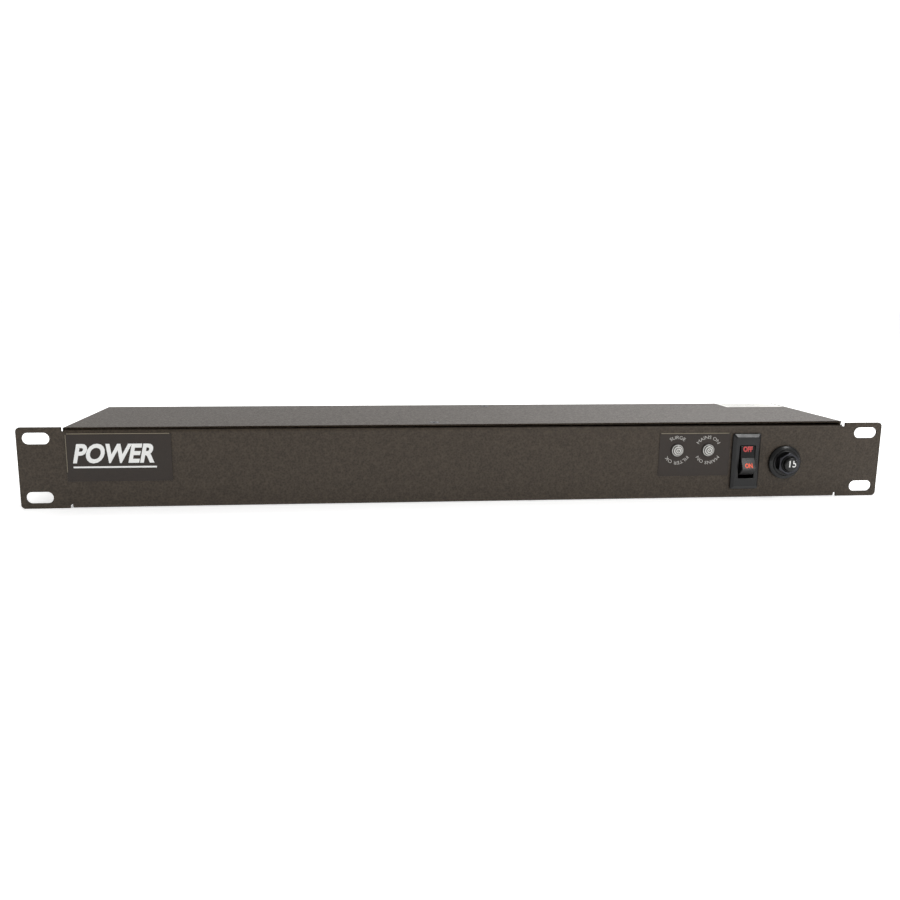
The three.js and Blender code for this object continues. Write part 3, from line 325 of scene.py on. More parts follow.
def on_front(x, depth, z):
    """Where a mark lies on a face that looks out of the panel."""
    return Matrix(((1, 0, 0, x), (0, 0, -1, depth), (0, 1, 0, z), (0, 0, 0, 1)))


def lettering(text, height, width=None, weight=0.0, slot=1, lean=0.0):
    """Letters as a solid about the origin, facing +Z."""
    curve = bpy.data.curves.new("letters", "FONT")
    curve.body = text
    curve.resolution_u = 4
    curve.offset = weight
    curve.extrude = 0.5
    thing = bpy.data.objects.new("letters", curve)
    bpy.context.scene.collection.objects.link(thing)
    shape = evaluated(thing)
    discard(thing)
    bmesh.ops.remove_doubles(shape, verts=shape.verts, dist=0.0001)
    xs = [vert.co.x for vert in shape.verts]
    ys = [vert.co.y for vert in shape.verts]
    tall = height / (max(ys) - min(ys))
    wide = tall if width is None else width / (max(xs) - min(xs))
    centre = ((max(xs) + min(xs)) / 2, (max(ys) + min(ys)) / 2)
    for vert in shape.verts:
        x, y, z = vert.co
        out = INK_FRONT if z > 0 else -INK_DEPTH
        rise = (y - centre[1]) * tall
        vert.co = ((x - centre[0]) * wide + rise * lean, rise, out)
    for face in shape.faces:
        face.material_index = slot
    bmesh.ops.recalc_face_normals(shape, faces=shape.faces)
    return shape


def around(shape, radius, turn):
    """Bends flat lettering round a circle, clockwise, its tops outwards."""
    for vert in shape.verts:
        angle = vert.co.x / radius + turn
        reach = radius + vert.co.y
        vert.co = (reach * math.sin(angle), reach * math.cos(angle), vert.co.z)
    return shape


# ---- Materials ----


def linear(red, green, blue):
    return tuple((c / 255 / 12.92 if c < 10.3 else ((c / 255 + 0.055) / 1.055) ** 2.4)
                 for c in (red, green, blue)) + (1.0,)


class Nodes:
    """A material's node tree, with short ways to add to it."""

    def __init__(self, name):
        self.material = bpy.data.materials.new(name)
        self.material.use_nodes = True
        self.tree = self.material.node_tree
        self.shader = self.tree.nodes["Principled BSDF"]
        self.place = self.add("ShaderNodeTexCoord").outputs["Object"]

    def add(self, kind, inputs=(), **settings):
        node = self.tree.nodes.new(kind)
        for name, value in settings.items():
            setattr(node, name, value)
        for name, value in dict(inputs).items():
            if isinstance(value, bpy.types.NodeSocket):
                self.tree.links.new(value, node.inputs[name])
            else:
                node.inputs[name].default_value = value
        return node

    def stretched(self, x, y, z):
        scaled = self.add("ShaderNodeMapping", {"Vector": self.place, "Scale": (x, y, z)})
        return scaled.outputs["Vector"]

    def noise(self, size, detail=3.0, roughness=0.55, vector=None):
        """Cloudy noise whose features are about size millimetres across."""
        inputs = {
            "Vector": vector or self.place, "Scale": 1 / (size * MM),
            "Detail": detail, "Roughness": roughness,
        }
        return self.add("ShaderNodeTexNoise", inputs).outputs["Fac"]

    def cells(self, size, smoothness=0.6):
        inputs = {"Vector": self.place, "Scale": 1 / (size * MM), "Smoothness": smoothness}
        node = self.add("ShaderNodeTexVoronoi", inputs, feature="SMOOTH_F1")
        return node.outputs["Distance"]

    def spread(self, value, low, high, start=0.3, end=0.7):
        """The value's range from start to end brought to low and high."""
        inputs = {"Value": value, "From Min": start, "From Max": end, "To Min": low, "To Max": high}
        return self.add("ShaderNodeMapRange", inputs).outputs["Result"]

    def blend(self, factor, first, second):
        node = self.add("ShaderNodeMix", data_type="RGBA")
        for socket, value in ((node.inputs[0], factor), (node.inputs[6], first), (node.inputs[7], second)):
            if isinstance(value, bpy.types.NodeSocket):
                self.tree.links.new(value, socket)
            else:
                socket.default_value = value
        return node.outputs[2]

    def sum(self, first, second, share):
        inputs = {0: second, 1: share, 2: first}
        return self.add("ShaderNodeMath", inputs, operation="MULTIPLY_ADD").outputs[0]

    def link(self, socket, value):
        self.tree.links.new(value, self.shader.inputs[socket])

    def bump(self, height, depth):
        """Relief of the given depth, in millimetres."""
        inputs = {"Height": height, "Distance": depth * MM}
        self.link("Normal", self.add("ShaderNodeBump", inputs).outputs["Normal"])

    def fixed(self, **values):
        names = {
            "metal": "Metallic", "clear": "Transmission Weight", "ior": "IOR",
            "specular": "Specular IOR Level",
        }
        for name, value in values.items():
            self.shader.inputs[names[name]].default_value = value


def shaded(colour, amount):
    return tuple(channel * amount for channel in colour[:3]) + (1.0,)


def textured_paint(name):
    """Powder coat with a fine hammered texture and a slight sparkle of lighter grains."""
    nodes = Nodes(name)
    base = linear(59, 51, 42)
    cells = nodes.cells(1.1)
    fine = nodes.noise(0.45, 2.0)
    broad = nodes.noise(2.4, 3.0)
    mottle = nodes.sum(nodes.sum(fine, cells, 0.9), broad, 0.8)
    shade = nodes.spread(mottle, 0.0, 1.0, 0.95, 1.7)
    nodes.link("Base Color", nodes.blend(shade, shaded(base, 0.68), shaded(base, 1.34)))
    nodes.link("Roughness", nodes.spread(mottle, 0.56, 0.42, 0.95, 1.7))
    relief = nodes.sum(nodes.sum(fine, cells, 1.6), broad, 0.4)
    nodes.bump(relief, 0.07)
    nodes.fixed(specular=0.27)
    return nodes.material


def moulded(name, colour, roughness=(0.3, 0.42), grain=0.25, depth=0.004, spread=0.12, **fixed):
    """Moulded plastic with fine spark-eroded grain and faint flow marks."""
    nodes = Nodes(name)
    fine = nodes.noise(grain, 3.0)
    broad = nodes.noise(9.0, 4.0)
    shade = nodes.spread(nodes.sum(fine, broad, 1.0), 0.0, 1.0, 0.75, 1.3)
    nodes.link("Base Color", nodes.blend(shade, shaded(colour, 1 - spread), shaded(colour, 1 + spread)))
    nodes.link("Roughness", nodes.spread(broad, *roughness))
    nodes.bump(fine, depth)
    nodes.fixed(**fixed)
    return nodes.material


def metal(name, colour, roughness=(0.2, 0.4), along_axis=(1, 1, 1), depth=0.002, **fixed):
    """Bare or plated metal with drawing lines and stains."""
    nodes = Nodes(name)
    lines = nodes.noise(0.4, 4.0, 0.7, nodes.stretched(*along_axis))
    stains = nodes.noise(5.0, 5.0, 0.6)
    shade = nodes.spread(nodes.sum(stains, lines, 0.4), 0.0, 1.0, 0.55, 0.95)
    nodes.link("Base Color", nodes.blend(shade, shaded(colour, 0.78), shaded(colour, 1.08)))
    nodes.link("Roughness", nodes.spread(nodes.sum(stains, lines, 0.6), *roughness, 0.6, 1.1))
    nodes.bump(lines, depth)
    nodes.fixed(metal=1.0, **fixed)
    return nodes.material


def printed_ink(name, colour):
    nodes = Nodes(name)
    grain = nodes.noise(0.2, 2.0)
    shade = nodes.spread(grain, 0.0, 1.0)
    nodes.link("Base Color", nodes.blend(shade, shaded(colour, 0.9), colour))
    nodes.link("Roughness", nodes.spread(grain, 0.4, 0.55))
    return nodes.material


def circuit_board(name):
    """Solder mask over copper tracks that run along and across the board."""
    nodes = Nodes(name)
    tracks = nodes.noise(2.2, 0.0, 0.5, nodes.stretched(0.35, 1.4, 1))
    edge = nodes.spread(tracks, 0.0, 1.0, 0.49, 0.51)
    fine = nodes.noise(0.3, 2.0)
    nodes.link("Base Color", nodes.blend(edge, linear(22, 84, 46), linear(36, 116, 66)))
    nodes.link("Roughness", nodes.spread(fine, 0.3, 0.45))
    nodes.bump(edge, 0.03)
    return nodes.material


BLACK = linear(14, 14, 14)
MATERIALS = {
    "painted_steel": textured_paint("painted_steel"),
    "black_plastic": moulded("black_plastic", BLACK, (0.26, 0.38), specular=0.36),
    "white_nylon": moulded("white_nylon", linear(226, 221, 208), (0.4, 0.55)),
    "black_steel": metal("black_steel", linear(62, 62, 66), (0.25, 0.42)),
    "plated_steel": metal("plated_steel", linear(196, 196, 194), (0.16, 0.34)),
    "brass": metal("brass", linear(196, 160, 92), (0.2, 0.4), (0.15, 1, 1)),
    "copper": metal("copper", linear(200, 128, 88), (0.2, 0.4), (1, 0.15, 1)),
    "plate_film": moulded("plate_film", linear(45, 38, 33), (0.34, 0.46), 0.5, 0.008, 0.16, specular=0.28),
    "label_paper": moulded("label_paper", linear(228, 227, 222), (0.5, 0.65), 0.15, 0.006, 0.03),
    "clear_plastic": moulded(
        "clear_plastic", linear(214, 213, 208), (0.08, 0.16), 1.5, 0.01, 0.05,
        clear=0.12, ior=1.49,
    ),
    "lamp_glass": moulded(
        "lamp_glass", linear(240, 226, 212), (0.02, 0.06), 2.0, 0.01, 0.04, clear=0.9, ior=1.5,
    ),
    "circuit_board": circuit_board("circuit_board"),
    "varistor_coating": moulded("varistor_coating", linear(44, 96, 172), (0.22, 0.4), 0.9, 0.03),
    "black_insulation": moulded("black_insulation", linear(26, 26, 27), (0.42, 0.55), 0.5, 0.01),
    "white_insulation": moulded("white_insulation", linear(220, 220, 215), (0.42, 0.55), 0.5, 0.01),
    "green_insulation": moulded("green_insulation", linear(38, 128, 66), (0.42, 0.55), 0.5, 0.01),
}
WHITE_INK = printed_ink("white_ink", linear(232, 232, 230))
# Painted shade: the OFF legend's red is darker than the ON legend's orange, standing for the bezel's shadow
# over the rocker's recessed top half.
SHADED_RED_INK = printed_ink("red_ink_painted_shade", linear(186, 66, 64))
ORANGE_INK = printed_ink("orange_ink", linear(236, 92, 58))
GREY_INK = printed_ink("grey_ink", linear(112, 112, 112))
SOFT_INK = printed_ink("soft_ink", linear(176, 173, 168))
# Painted highlight: a pale ink for thin lines along the top and left edges of the front films, standing for
# light caught on those edges.
PAINTED_HIGHLIGHT_INK = printed_ink("edge_highlight_ink", linear(124, 115, 96))
# Painted shade: a dark ink on the lens's groove floors and outer rim, standing for shade in the grooves and a
# dark refracted rim.
LENS_SHADE_INK = printed_ink("lens_painted_shade", linear(58, 56, 52))


# ---- Pieces ----


def placed(name, shape, materials, smooth_angle=35):
    mesh = bpy.data.meshes.new(name)
    moved(shape, TO_METRES).to_mesh(mesh)
    shape.free()
    for polygon in mesh.polygons:
        polygon.use_smooth = True
    mesh.set_sharp_from_angle(angle=math.radians(smooth_angle))
    thing = bpy.data.objects.new(name, mesh)
    bpy.context.scene.collection.objects.link(thing)
    for material in materials:
        mesh.materials.append(material)
    normals = thing.modifiers.new("normals", "WEIGHTED_NORMAL")
    normals.keep_sharp = True
    return thing


def piece(node, shape, *inks):
    """Stands a detailed solid in a CAD node's place, with the node's own material."""
    slot = SLOT_OF[node]
    thing = placed(f"{node}_detail", shape, [MATERIALS[slot], *inks])
    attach(thing, BODY_OF[node])
    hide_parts(node)
    return thing


def outward(side, start, end):
    """A range of X on one side of the middle."""
    return sorted((side * start, side * end))


def ear(side, half, panel_top):
    notch_x, notch_z = RELIEF
    foot, head = FLOOR_BEND_HALF + notch_x, BEND_HALF + notch_x
    corners = rounded([(foot, 0), (half, 0), (half, panel_top), (head, panel_top)], 2.2, 6, closed=False)
    outline = [
        (EAR_ROOT, notch_z), (foot, notch_z), *corners, (head, panel_top - notch_z),
        (BEND_HALF, panel_top - notch_z), (BEND_HALF, TRAY_TOP - TRAY_BEND),
        (EAR_ROOT, TRAY_TOP - TRAY_BEND),
    ]
    return prism([(side * x, z) for x, z in outline], (0, SHEET))


def side_lip(side):
    lip = fold([(EAR_ROOT, 0), (TRAY_HALF, 0), (TRAY_HALF, LIP_HEIGHT)], SHEET, TRAY_BEND)
    return prism([(side * x, z) for x, z in lip], LIP_DEPTHS)


def build_tray():
    high = box("chassis_tray")[1]
    depth, panel_top, half = high.y, high.z, high.x
    section = fold([
        (TRAY_FLANGE, TRAY_TOP), (0, TRAY_TOP), (0, 0), (depth, 0), (depth, TRAY_TOP),
        (depth - TRAY_FLANGE, TRAY_TOP),
    ], SHEET, TRAY_BEND)
    tray = prism(section, (-BEND_HALF, BEND_HALF), "X")
    beyond = 2 * half
    clear, relief_end, lip_end = 1.9, 2.2, LIP_DEPTHS[1] + 0.5
    side_gap = 0.05
    trims, additions = [], []
    for side in (-1, 1):
        trims += [
            block(outward(side, TRAY_HALF, beyond), (clear, beyond), (-PAST, beyond)),
            block(outward(side, FLANGE_HALF, beyond), (clear, beyond), (TRAY_TOP - TRAY_BEND, beyond)),
            block(outward(side, FLOOR_BEND_HALF, beyond), (-PAST, relief_end), (-PAST, RELIEF[1])),
            block(
                outward(side, TRAY_HALF - TRAY_BEND, beyond), (relief_end, lip_end), (-PAST, SHEET + side_gap)
            ),
        ]
        additions += [ear(side, half, panel_top), side_lip(side)]
    tray = fused(cut(tray, *trims), *additions)

    front, rear = (-PAST, SHEET + PAST), (depth - SHEET - PAST, depth + PAST)
    holes = []
    for side in (-1, 1):
        for row in (-1, 1):
            centre = (side * SLOT_X, panel_top / 2 + row * SLOT_RISE)
            holes.append(prism(rectangle(*centre, *SLOT_HALF, SLOT_HALF[1] - 0.001, 10), front))
    switch = middle("switch_housing")
    breaker = middle("breaker_button")
    stud = middle("ground_stud")
    inlet = middle("inlet_body")
    holes += [
        prism(rectangle(switch.x, switch.z, *SWITCH_HOLE, 0.5), front),
        prism(circle(BREAKER_HOLE, (breaker.x, breaker.z)), front),
        prism(circle(STUD_HOLE, (stud.x, stud.z)), rear),
        prism(rectangle(inlet.x, inlet.z, *INLET_HOLE, 0.8), rear),
    ]
    for number in (1, 2):
        lens = middle(f"indicator_lens_{number}")
        holes.append(prism(circle(LENS_HOLE, (lens.x, lens.z)), front))
    for node in OUTLETS:
        outlet = middle(node)
        holes.append(prism(rectangle(outlet.x, outlet.z, *OUTLET_HOLE, 0.8), rear))
    for name in ("inlet_screw_left", "inlet_screw_right"):
        screw = middle(name)
        holes.append(prism(circle(SCREW_HOLE, (screw.x, screw.z), 24), rear))
    for side, name in ((-1, "side_screw_left"), (1, "side_screw_right")):
        screw = middle(name)
        span = outward(side, TRAY_HALF - 3, TRAY_HALF + 3)
        holes.append(prism(circle(SCREW_HOLE, (screw.y, screw.z), 24), span, "X"))
    for name in COVER_SCREWS:
        screw = middle(name)
        span = (TRAY_TOP - 3, TRAY_TOP + 3)
        holes.append(prism(circle(SCREW_HOLE, (screw.x, screw.y), 24), span, "Z"))
    piece("chassis_tray", softened(cut(tray, *holes), SHEET_EDGE))


def lid_matrix():
    """The cover's top face, its right end a little higher than its left."""
    high = box("top_cover")[1]
    tilt = math.asin(COVER_RISE / (2 * COVER_HALF))
    return along(COVER_SHIFT, 0, high.z - COVER_RISE / 2) @ Matrix.Rotation(-tilt, 4, "Y")


def build_cover():
    low, high = box("top_cover")
    half = COVER_HALF
    middle_top = high.z - COVER_RISE / 2
    bottom = COVER_BOTTOM - middle_top
    front, rear = low.y, high.y
    section = fold([(half, bottom), (half, 0), (-half, 0), (-half, bottom)], SHEET, COVER_BEND, 9)
    cover = prism(section, (front, rear))
    screw_depth, screw_height = SIDE_SCREW
    tools = []
    for side in (-1, 1):
        span = outward(side, half - 3, half + 3)
        tools.append(block(span, (0, 2.2), (bottom - 1, 0.05 - SHEET)))
        hole = circle(SCREW_HOLE, (screw_depth, screw_height - middle_top), 24)
        tools.append(prism(hole, span, "X"))
    lip, below = -0.35, -SHEET - 0.1
    undercut = [(front - PAST, lip), (front, lip), (front + 1.3, below), (front - PAST, below)]
    tools.append(prism(undercut, (-half - PAST, half + PAST), "X"))
    for name in COVER_SCREWS:
        screw = middle(name)
        well = turned([
            (0, -1), (3.1, -1), (3.1, 0), (SCREW_HOLE, COUNTERSINK), (SCREW_HOLE, 3), (0, 3),
        ], steps=40)
        spot = along(screw.x - COVER_SHIFT, screw.y, 0)
        tools.append(moved(well, spot @ Matrix.Rotation(-math.pi / 2, 4, "X")))
    cover = softened(cut(cover, *tools), 0.15)
    piece("top_cover", moved(cover, lid_matrix()))


def cross_recess(reach, width, depths):
    """A cross recess whose arms taper with depth."""
    start, end = depths
    arms = []
    for a, b in ((reach, width), (width, reach)):
        outer = rectangle(0, 0, a, b)
        inner = rectangle(0, 0, a * 0.55, b * 0.7)
        arms.append(loft([
            [(x, start, z) for x, z in outer], [(x, end, z) for x, z in inner],
        ]))
    return arms


def shank(start, length):
    """The outline of a screw below its head, down to its blunt tip."""
    return [(SHANK, start), (SHANK, length - 0.8), (0.8, length), (0, length)]


def flat_head(length):
    face = -0.08
    outline = [(0, face), (2.65, face), (2.78, 0.02), *shank(COUNTERSINK, length)]
    body = turned(outline, steps=40)
    return cut(body, *cross_recess(1.55, 0.42, (-0.3, 1.0)))


def pan_head(length):
    radius, rim, rise, seat = 2.8, -0.5, 1.2, -0.05
    turns = [math.radians(a) for a in range(80, 0, -10)]
    crown = [(radius * math.cos(t), rim - rise * math.sin(t)) for t in turns]
    outline = [(0, rim - rise), *crown, (radius, rim), (radius, seat), *shank(seat, length)]
    body = turned(outline, steps=40)
    return cut(body, *cross_recess(1.5, 0.4, (-2.2, -0.6)))


def build_screws():
    lid = lid_matrix()
    for name in COVER_SCREWS:
        place = middle(name)
        upright = along(place.x - COVER_SHIFT, place.y, 0) @ Matrix.Rotation(-math.pi / 2, 4, "X")
        turn = Matrix.Rotation(0.5, 4, "Y")
        piece(name, moved(softened(flat_head(COVER_SCREW_LENGTH), 0.06), lid @ upright @ turn))
    for side, name in ((-1, "side_screw_left"), (1, "side_screw_right")):
        depth, height = SIDE_SCREW
        turn = Matrix.Rotation(side * math.pi / 2, 4, "Z") @ Matrix.Rotation(0.3, 4, "Y")
        place = along(side * COVER_HALF, depth, height - lid.translation.z)
        piece(name, moved(softened(pan_head(COVER_SCREW_LENGTH), 0.08), lid @ place @ turn))
    inlet = middle("inlet_body")
    face = box("inlet_body")[1].y
    for side, name in ((-1, "inlet_screw_left"), (1, "inlet_screw_right")):
        turn = Matrix.Rotation(math.pi, 4, "Z") @ Matrix.Rotation(0.9 * side, 4, "Y")
        place = along(inlet.x + side * INLET_SCREW_X, face, inlet.z)
        piece(name, moved(softened(pan_head(INLET_SCREW_LENGTH), 0.08), place @ turn))


# ---- Labels and indicators ----


def film_outline(low, high, corner):
    centre, half = (low + high) / 2, (high - low) / 2
    return rectangle(centre.x, centre.z, half.x, half.z, corner)


def rule(x, z, depth, slot):
    """A line of ink on the panel's front, over ranges of X and Z, for printed marks and for painted
    highlights along film edges.
    """
    line = block(x, (depth - INK_FRONT, depth + INK_DEPTH), z)
    for face in line.faces:
        face.material_index = slot
    return line


def top_edge_highlight(low, high, slot):
    """A painted highlight: a pale line along the top of a film, standing for light caught on its edge."""
    return rule((low.x + 0.8, high.x - 0.8), (high.z - 0.5, high.z - 0.12), low.y, slot)


def build_name_plate():
    low, high = box("name_plate")
    plate = softened(prism(film_outline(low, high, 0.7), (low.y, high.y)), 0.12)
    mark = lettering("POWER", 10.6, 41.6, weight=0.035, lean=0.22)
    mark = moved(mark, on_front(low.x + 25.2, low.y, low.z + 15.0))
    underline = rule((low.x + 3.4, low.x + 46), (low.z + 7.2, low.z + 8.1), low.y, 1)
    # Painted highlights: pale lines along the plate's top and left edges, standing for light caught on them.
    side_edge_highlight = rule((low.x + 0.12, low.x + 0.4), (low.z + 5, high.z - 0.8), low.y, 2)
    plate = joined(plate, mark, underline, top_edge_highlight(low, high, 2), side_edge_highlight)
    piece("name_plate", plate, WHITE_INK, PAINTED_HIGHLIGHT_INK)


LENS_RADIUS = 3.6
LENS_BARREL = 2.9
LENS_BORE = 2.2
LENS_PITCH = 1.1
LENS_RIPPLE = 0.16
RING_RADIUS = 7.4
RING_HEIGHT = 1.9
RING_PITCH = 1.9
RING_REACH = 15.4


def build_indicator_label():
    low, high = box("indicator_label")
    film = prism(film_outline(low, high, 0.6), (low.y, high.y))
    lenses = [middle("indicator_lens_1"), middle("indicator_lens_2")]
    film = cut(film, *[prism(circle(LENS_RADIUS + 0.05, (lens.x, lens.z)), (-1, 1)) for lens in lenses])
    marks = []
    for lens, words in zip(lenses, (("SURGE", "FILTER OK"), ("MAINS ON", "MAINS ON"))):
        for word, turn in zip(words, (0, math.pi)):
            letters = lettering(word, RING_HEIGHT, min(RING_PITCH * len(word), RING_REACH))
            ring = around(letters, RING_RADIUS, turn)
            marks.append(moved(ring, on_front(lens.x, low.y, lens.z)))
    # Painted highlight: a pale line along the film's top edge.
    edge = top_edge_highlight(low, high, 2)
    piece("indicator_label", joined(softened(film, 0.08), edge, *marks), SOFT_INK, PAINTED_HIGHLIGHT_INK)


def build_rating_label():
    low, high = box("rating_label")
    lid = lid_matrix()
    x, y = middle("rating_label").x - COVER_SHIFT, middle("rating_label").y
    half_x, half_y = (high.x - low.x) / 2, (high.y - low.y) / 2
    paper_front = 0.15
    paper = prism(rectangle(x, y, half_x, half_y, 0.8), (0.03, paper_front), "Z")
    start = x - half_x * 0.88
    lines = []
    line_count = 7
    for number in range(line_count):
        height = y + half_y - 2.2 - number * (2 * half_y - 4) / (line_count - 1)
        reach = half_x * (0.86 if number % 3 else 0.6) * 0.9
        span = (paper_front - INK_DEPTH, paper_front + INK_FRONT)
        line = prism(rectangle(start + reach, height, reach, 0.32), span, "Z")
        for face in line.faces:
            face.material_index = 1
        lines.append(line)
    piece("rating_label", moved(joined(softened(paper, 0.03), *lines), lid), GREY_INK)


def build_lens(node):
    """A domed lens with moulded rings, in front of its hollow barrel."""
    lens = middle(node)
    low = box(node)[0].y
    seat, rear = -0.32, 6
    dome = [(LENS_RADIUS * t, low + 2.0 * t ** 2.6) for t in [k / 40 for k in range(1, 41)]]
    ringed = [(r, y + LENS_RIPPLE * (1 - math.cos(r * math.tau / LENS_PITCH)) / 2) for r, y in dome]
    outline = [
        (0, low), *ringed, (LENS_RADIUS, seat), (LENS_BARREL, seat), (LENS_BARREL, rear),
        (LENS_BORE, rear), (LENS_BORE, -1), (0, -1.2),
    ]
    shape = softened(turned(outline, (lens.x, lens.z), 72), 0.06, 2, 50)
    # Painted shade: front faces in the ring grooves and at the dome's outer rim get the dark ink, where shade
    # and dark refraction fall.
    for face in shape.faces:
        spot = face.calc_center_median() - lens
        radius = math.hypot(spot.x, spot.z)
        in_groove = abs(radius / LENS_PITCH % 1 - 0.5) < 0.2
        if spot.y < seat - lens.y and (in_groove or radius > LENS_RADIUS - 0.3):
            face.material_index = 1
    piece(node, shape, LENS_SHADE_INK)


def build_lamp(node):
    lamp = middle(node)
    glass, wire, foot, end = 1.5, 0.25, 9.2, 17
    turns = [math.radians(a) for a in range(12, 91, 13)]
    nose = [(glass * math.sin(t), 1.1 - glass * math.cos(t)) for t in turns]
    tube = turned(
        [(0, -0.4), *nose, (glass, foot), (1.3, foot + 0.3), (0, foot + 0.3)], (lamp.x, lamp.z), 40
    )
    lead = [(0, foot), (wire, foot), (wire, end - 0.1), (wire - 0.1, end), (0, end)]
    leads = [turned(lead, (lamp.x + x, lamp.z), 16) for x in (-0.6, 0.6)]
    piece(node, fused(tube, *leads))


# ---- Rocker switch ----

BEZEL_RINGS = ((-0.05, 8.4, 16.2, 1.0), (-1.0, 8.4, 16.2, 1.0), (-2.6, 6.8, 14.2, 0.7))


def build_switch_housing():
    centre = middle("switch_housing")
    rings = [[(x, depth, z) for x, z in rectangle(0, 0, half_x, half_z, corner)]
             for depth, half_x, half_z, corner in BEZEL_RINGS]
    bezel = loft(rings)
    rear = box("switch_housing")[1].y
    case = prism(rectangle(0, 0, 6.7, 14, 0.4), (-0.45, rear))
    window = prism(rectangle(0, 0, 4.7, 9.6, 0.45), (-3.6, -0.2))
    chamber = prism(rectangle(0, 0, 5.3, 12.1, 0.3), (-1.2, rear - 2))
    pin_hole = prism(circle(1.6, (5, 0)), (-8, 8), "X")
    blade_slots = [prism(rectangle(0, z, 3.4, 0.65), (rear - 3, rear + PAST)) for z in (0, 9)]
    shell = cut(fused(bezel, case), window, chamber, pin_hole, *blade_slots)
    piece("switch_housing", moved(softened(shell, 0.28, 3), along(centre.x, 0, centre.z)))


def build_rocker():
    joint = JOINTS["rocker_hinge"]
    pivot = TO_MILLIMETRES @ Vector(joint["pos_m"])
    rest = -math.radians(joint["range_deg"][1]) / 2
    tip_angle, tip_radius, hollow = math.radians(34.5), 12.0, 1.0
    tip = Vector((-tip_radius * math.cos(tip_angle), tip_radius * math.sin(tip_angle)))
    upper = [tip, (-5.1, 9.3), (0.4, 9.3), (0.4, 3.0), (6.3, 2.4)]
    lower = [(y, -z) for y, z in upper[::-1]]
    valley = Vector((tip.x + hollow, 0))
    outline = rounded([valley, *upper, *lower], 0.32, 4)
    pin = prism(circle(1.5), (-6.3, 6.3), "X")
    rocker = fused(prism(outline, (-4.1, 4.1), "X"), pin)
    plunger_bore = turned([(0, 3), (1.25, 3), (1.25, 7.3), (0, 7.3)], steps=24)
    rocker = softened(cut(rocker, plunger_bore), 0.3, 3)
    marks = []
    # The OFF legend's darker ink is painted shade for the bezel's shadow; the ON legend's ink is the lit
    # colour.
    for side, word, height, width, reach, slot in (
        (1, "OFF", 3.2, 5.6, 0.74, 1), (-1, "ON", 2.9, 4.6, 0.66, 2),
    ):
        end = Vector((tip.x, side * tip.y))
        spot = valley.lerp(end, reach)
        up = (end - valley).normalized() * side
        out = Vector((-up.y, up.x))
        place = Matrix((
            (1, 0, 0, 0), (0, up.x, out.x, spot.x), (0, up.y, out.y, spot.y), (0, 0, 0, 1),
        ))
        marks.append(moved(lettering(word, height, width, 0.05, slot), place))
    tilt = along(pivot.x, pivot.y, pivot.z) @ Matrix.Rotation(rest, 4, "X")
    piece("switch_rocker", moved(joined(rocker, *marks), tilt), SHADED_RED_INK, ORANGE_INK)


# ---- Circuit breaker ----


def hexagon(across_flats, turn=math.pi / 6):
    reach = across_flats / math.sqrt(3)
    return [(reach * math.cos(turn + math.tau * i / 6), reach * math.sin(turn + math.tau * i / 6))
            for i in range(6)]


def nut(across_flats, hole, depths, chamfer=0.55):
    start, end = depths
    reach = across_flats / math.sqrt(3)
    flat = across_flats / 2 - 0.1
    envelope = turned([
        (0, start), (flat, start), (reach, start + chamfer), (reach, end - chamfer), (flat, end),
        (0, end),
    ], steps=72)
    body = combined(prism(hexagon(across_flats), depths), [envelope], "INTERSECT")
    return cut(body, prism(circle(hole), (start - PAST, end + PAST)))


def threaded(radius, depths, pitch, depth):
    """The outline of a turned thread: rings whose radius rises and falls."""
    start, end = depths
    count = max(int((end - start) / pitch), 1)
    rings = []
    for k in range(count):
        base = start + k * (end - start) / count
        rings += [(radius - depth, base), (radius, base + 0.45 * (end - start) / count)]
    return rings


def build_breaker():
    centre = middle("breaker_button")
    spot = along(centre.x, 0, centre.z)
    inside, outside, seat, face, groove = 5, 9.75, -0.05, -2.3, -2.05
    ring = turned([
        (inside, seat), (outside, seat), (outside, -1.0), (9.5, -1.5), (8.5, -2.2), (8.2, face),
        (7.6, face), (7.4, groove), (6.9, groove), (6.7, face), (inside, face),
    ], steps=96)
    piece("breaker_face_ring", moved(softened(ring, 0.1), spot))
    piece("breaker_hex_nut", moved(softened(nut(11.5, 4.85, (-6.2, -2.4)), 0.12), spot))

    front = box("breaker_button")[0].y
    barrel, collar, stem = 3.95, 5.5, 2.2
    button = turned([
        (0, front + 0.12), (2.6, front + 0.1), (3.2, front), (3.5, front + 0.05), (3.85, front + 0.35),
        (barrel, front + 0.75), (barrel, 8), (collar, 8), (collar, 9.2), (stem, 9.2), (stem, 12.5),
        (0, 12.5),
    ])
    number = moved(lettering("15", 4.1, 4.3, 0.01), on_front(0.7, front + 0.11, 0.6))
    piece("breaker_button", moved(joined(button, number), spot), WHITE_INK)

    rear = box("breaker_body")[1].y
    case = prism(rectangle(0, 0, 7.5, 16, 0.8), (1.5, rear))
    bushing_radius, tip = 4.7, -6.9
    thread = [(r, -y) for r, y in threaded(bushing_radius, (2.1, 6.5), 0.75, 0.3)]
    bushing = turned([
        (0, 2), (bushing_radius, 2), (bushing_radius, -2), *thread, (4.4, tip), (0, tip),
    ], steps=48)
    button_bore = prism(circle(4.15), (-8, 4))
    spring_chamber = prism(circle(6), (2.7, 19))
    strip_chamber = block((-4.2, 4.2), (5, rear - 3), (-13.5, -4))
    low_blade = block((-3.4, 3.4), (rear - 4, rear + PAST), (-11.65, -10.35))
    high_blade = block((-3.4, 3.4), (12, rear + PAST), (10.35, 11.65))
    body = cut(
        fused(case, bushing), button_bore, spring_chamber, strip_chamber, low_blade, high_blade
    )
    piece("breaker_body", moved(softened(body, 0.1), spot))


# ---- Rear: outlets, inlet and earth stud ----


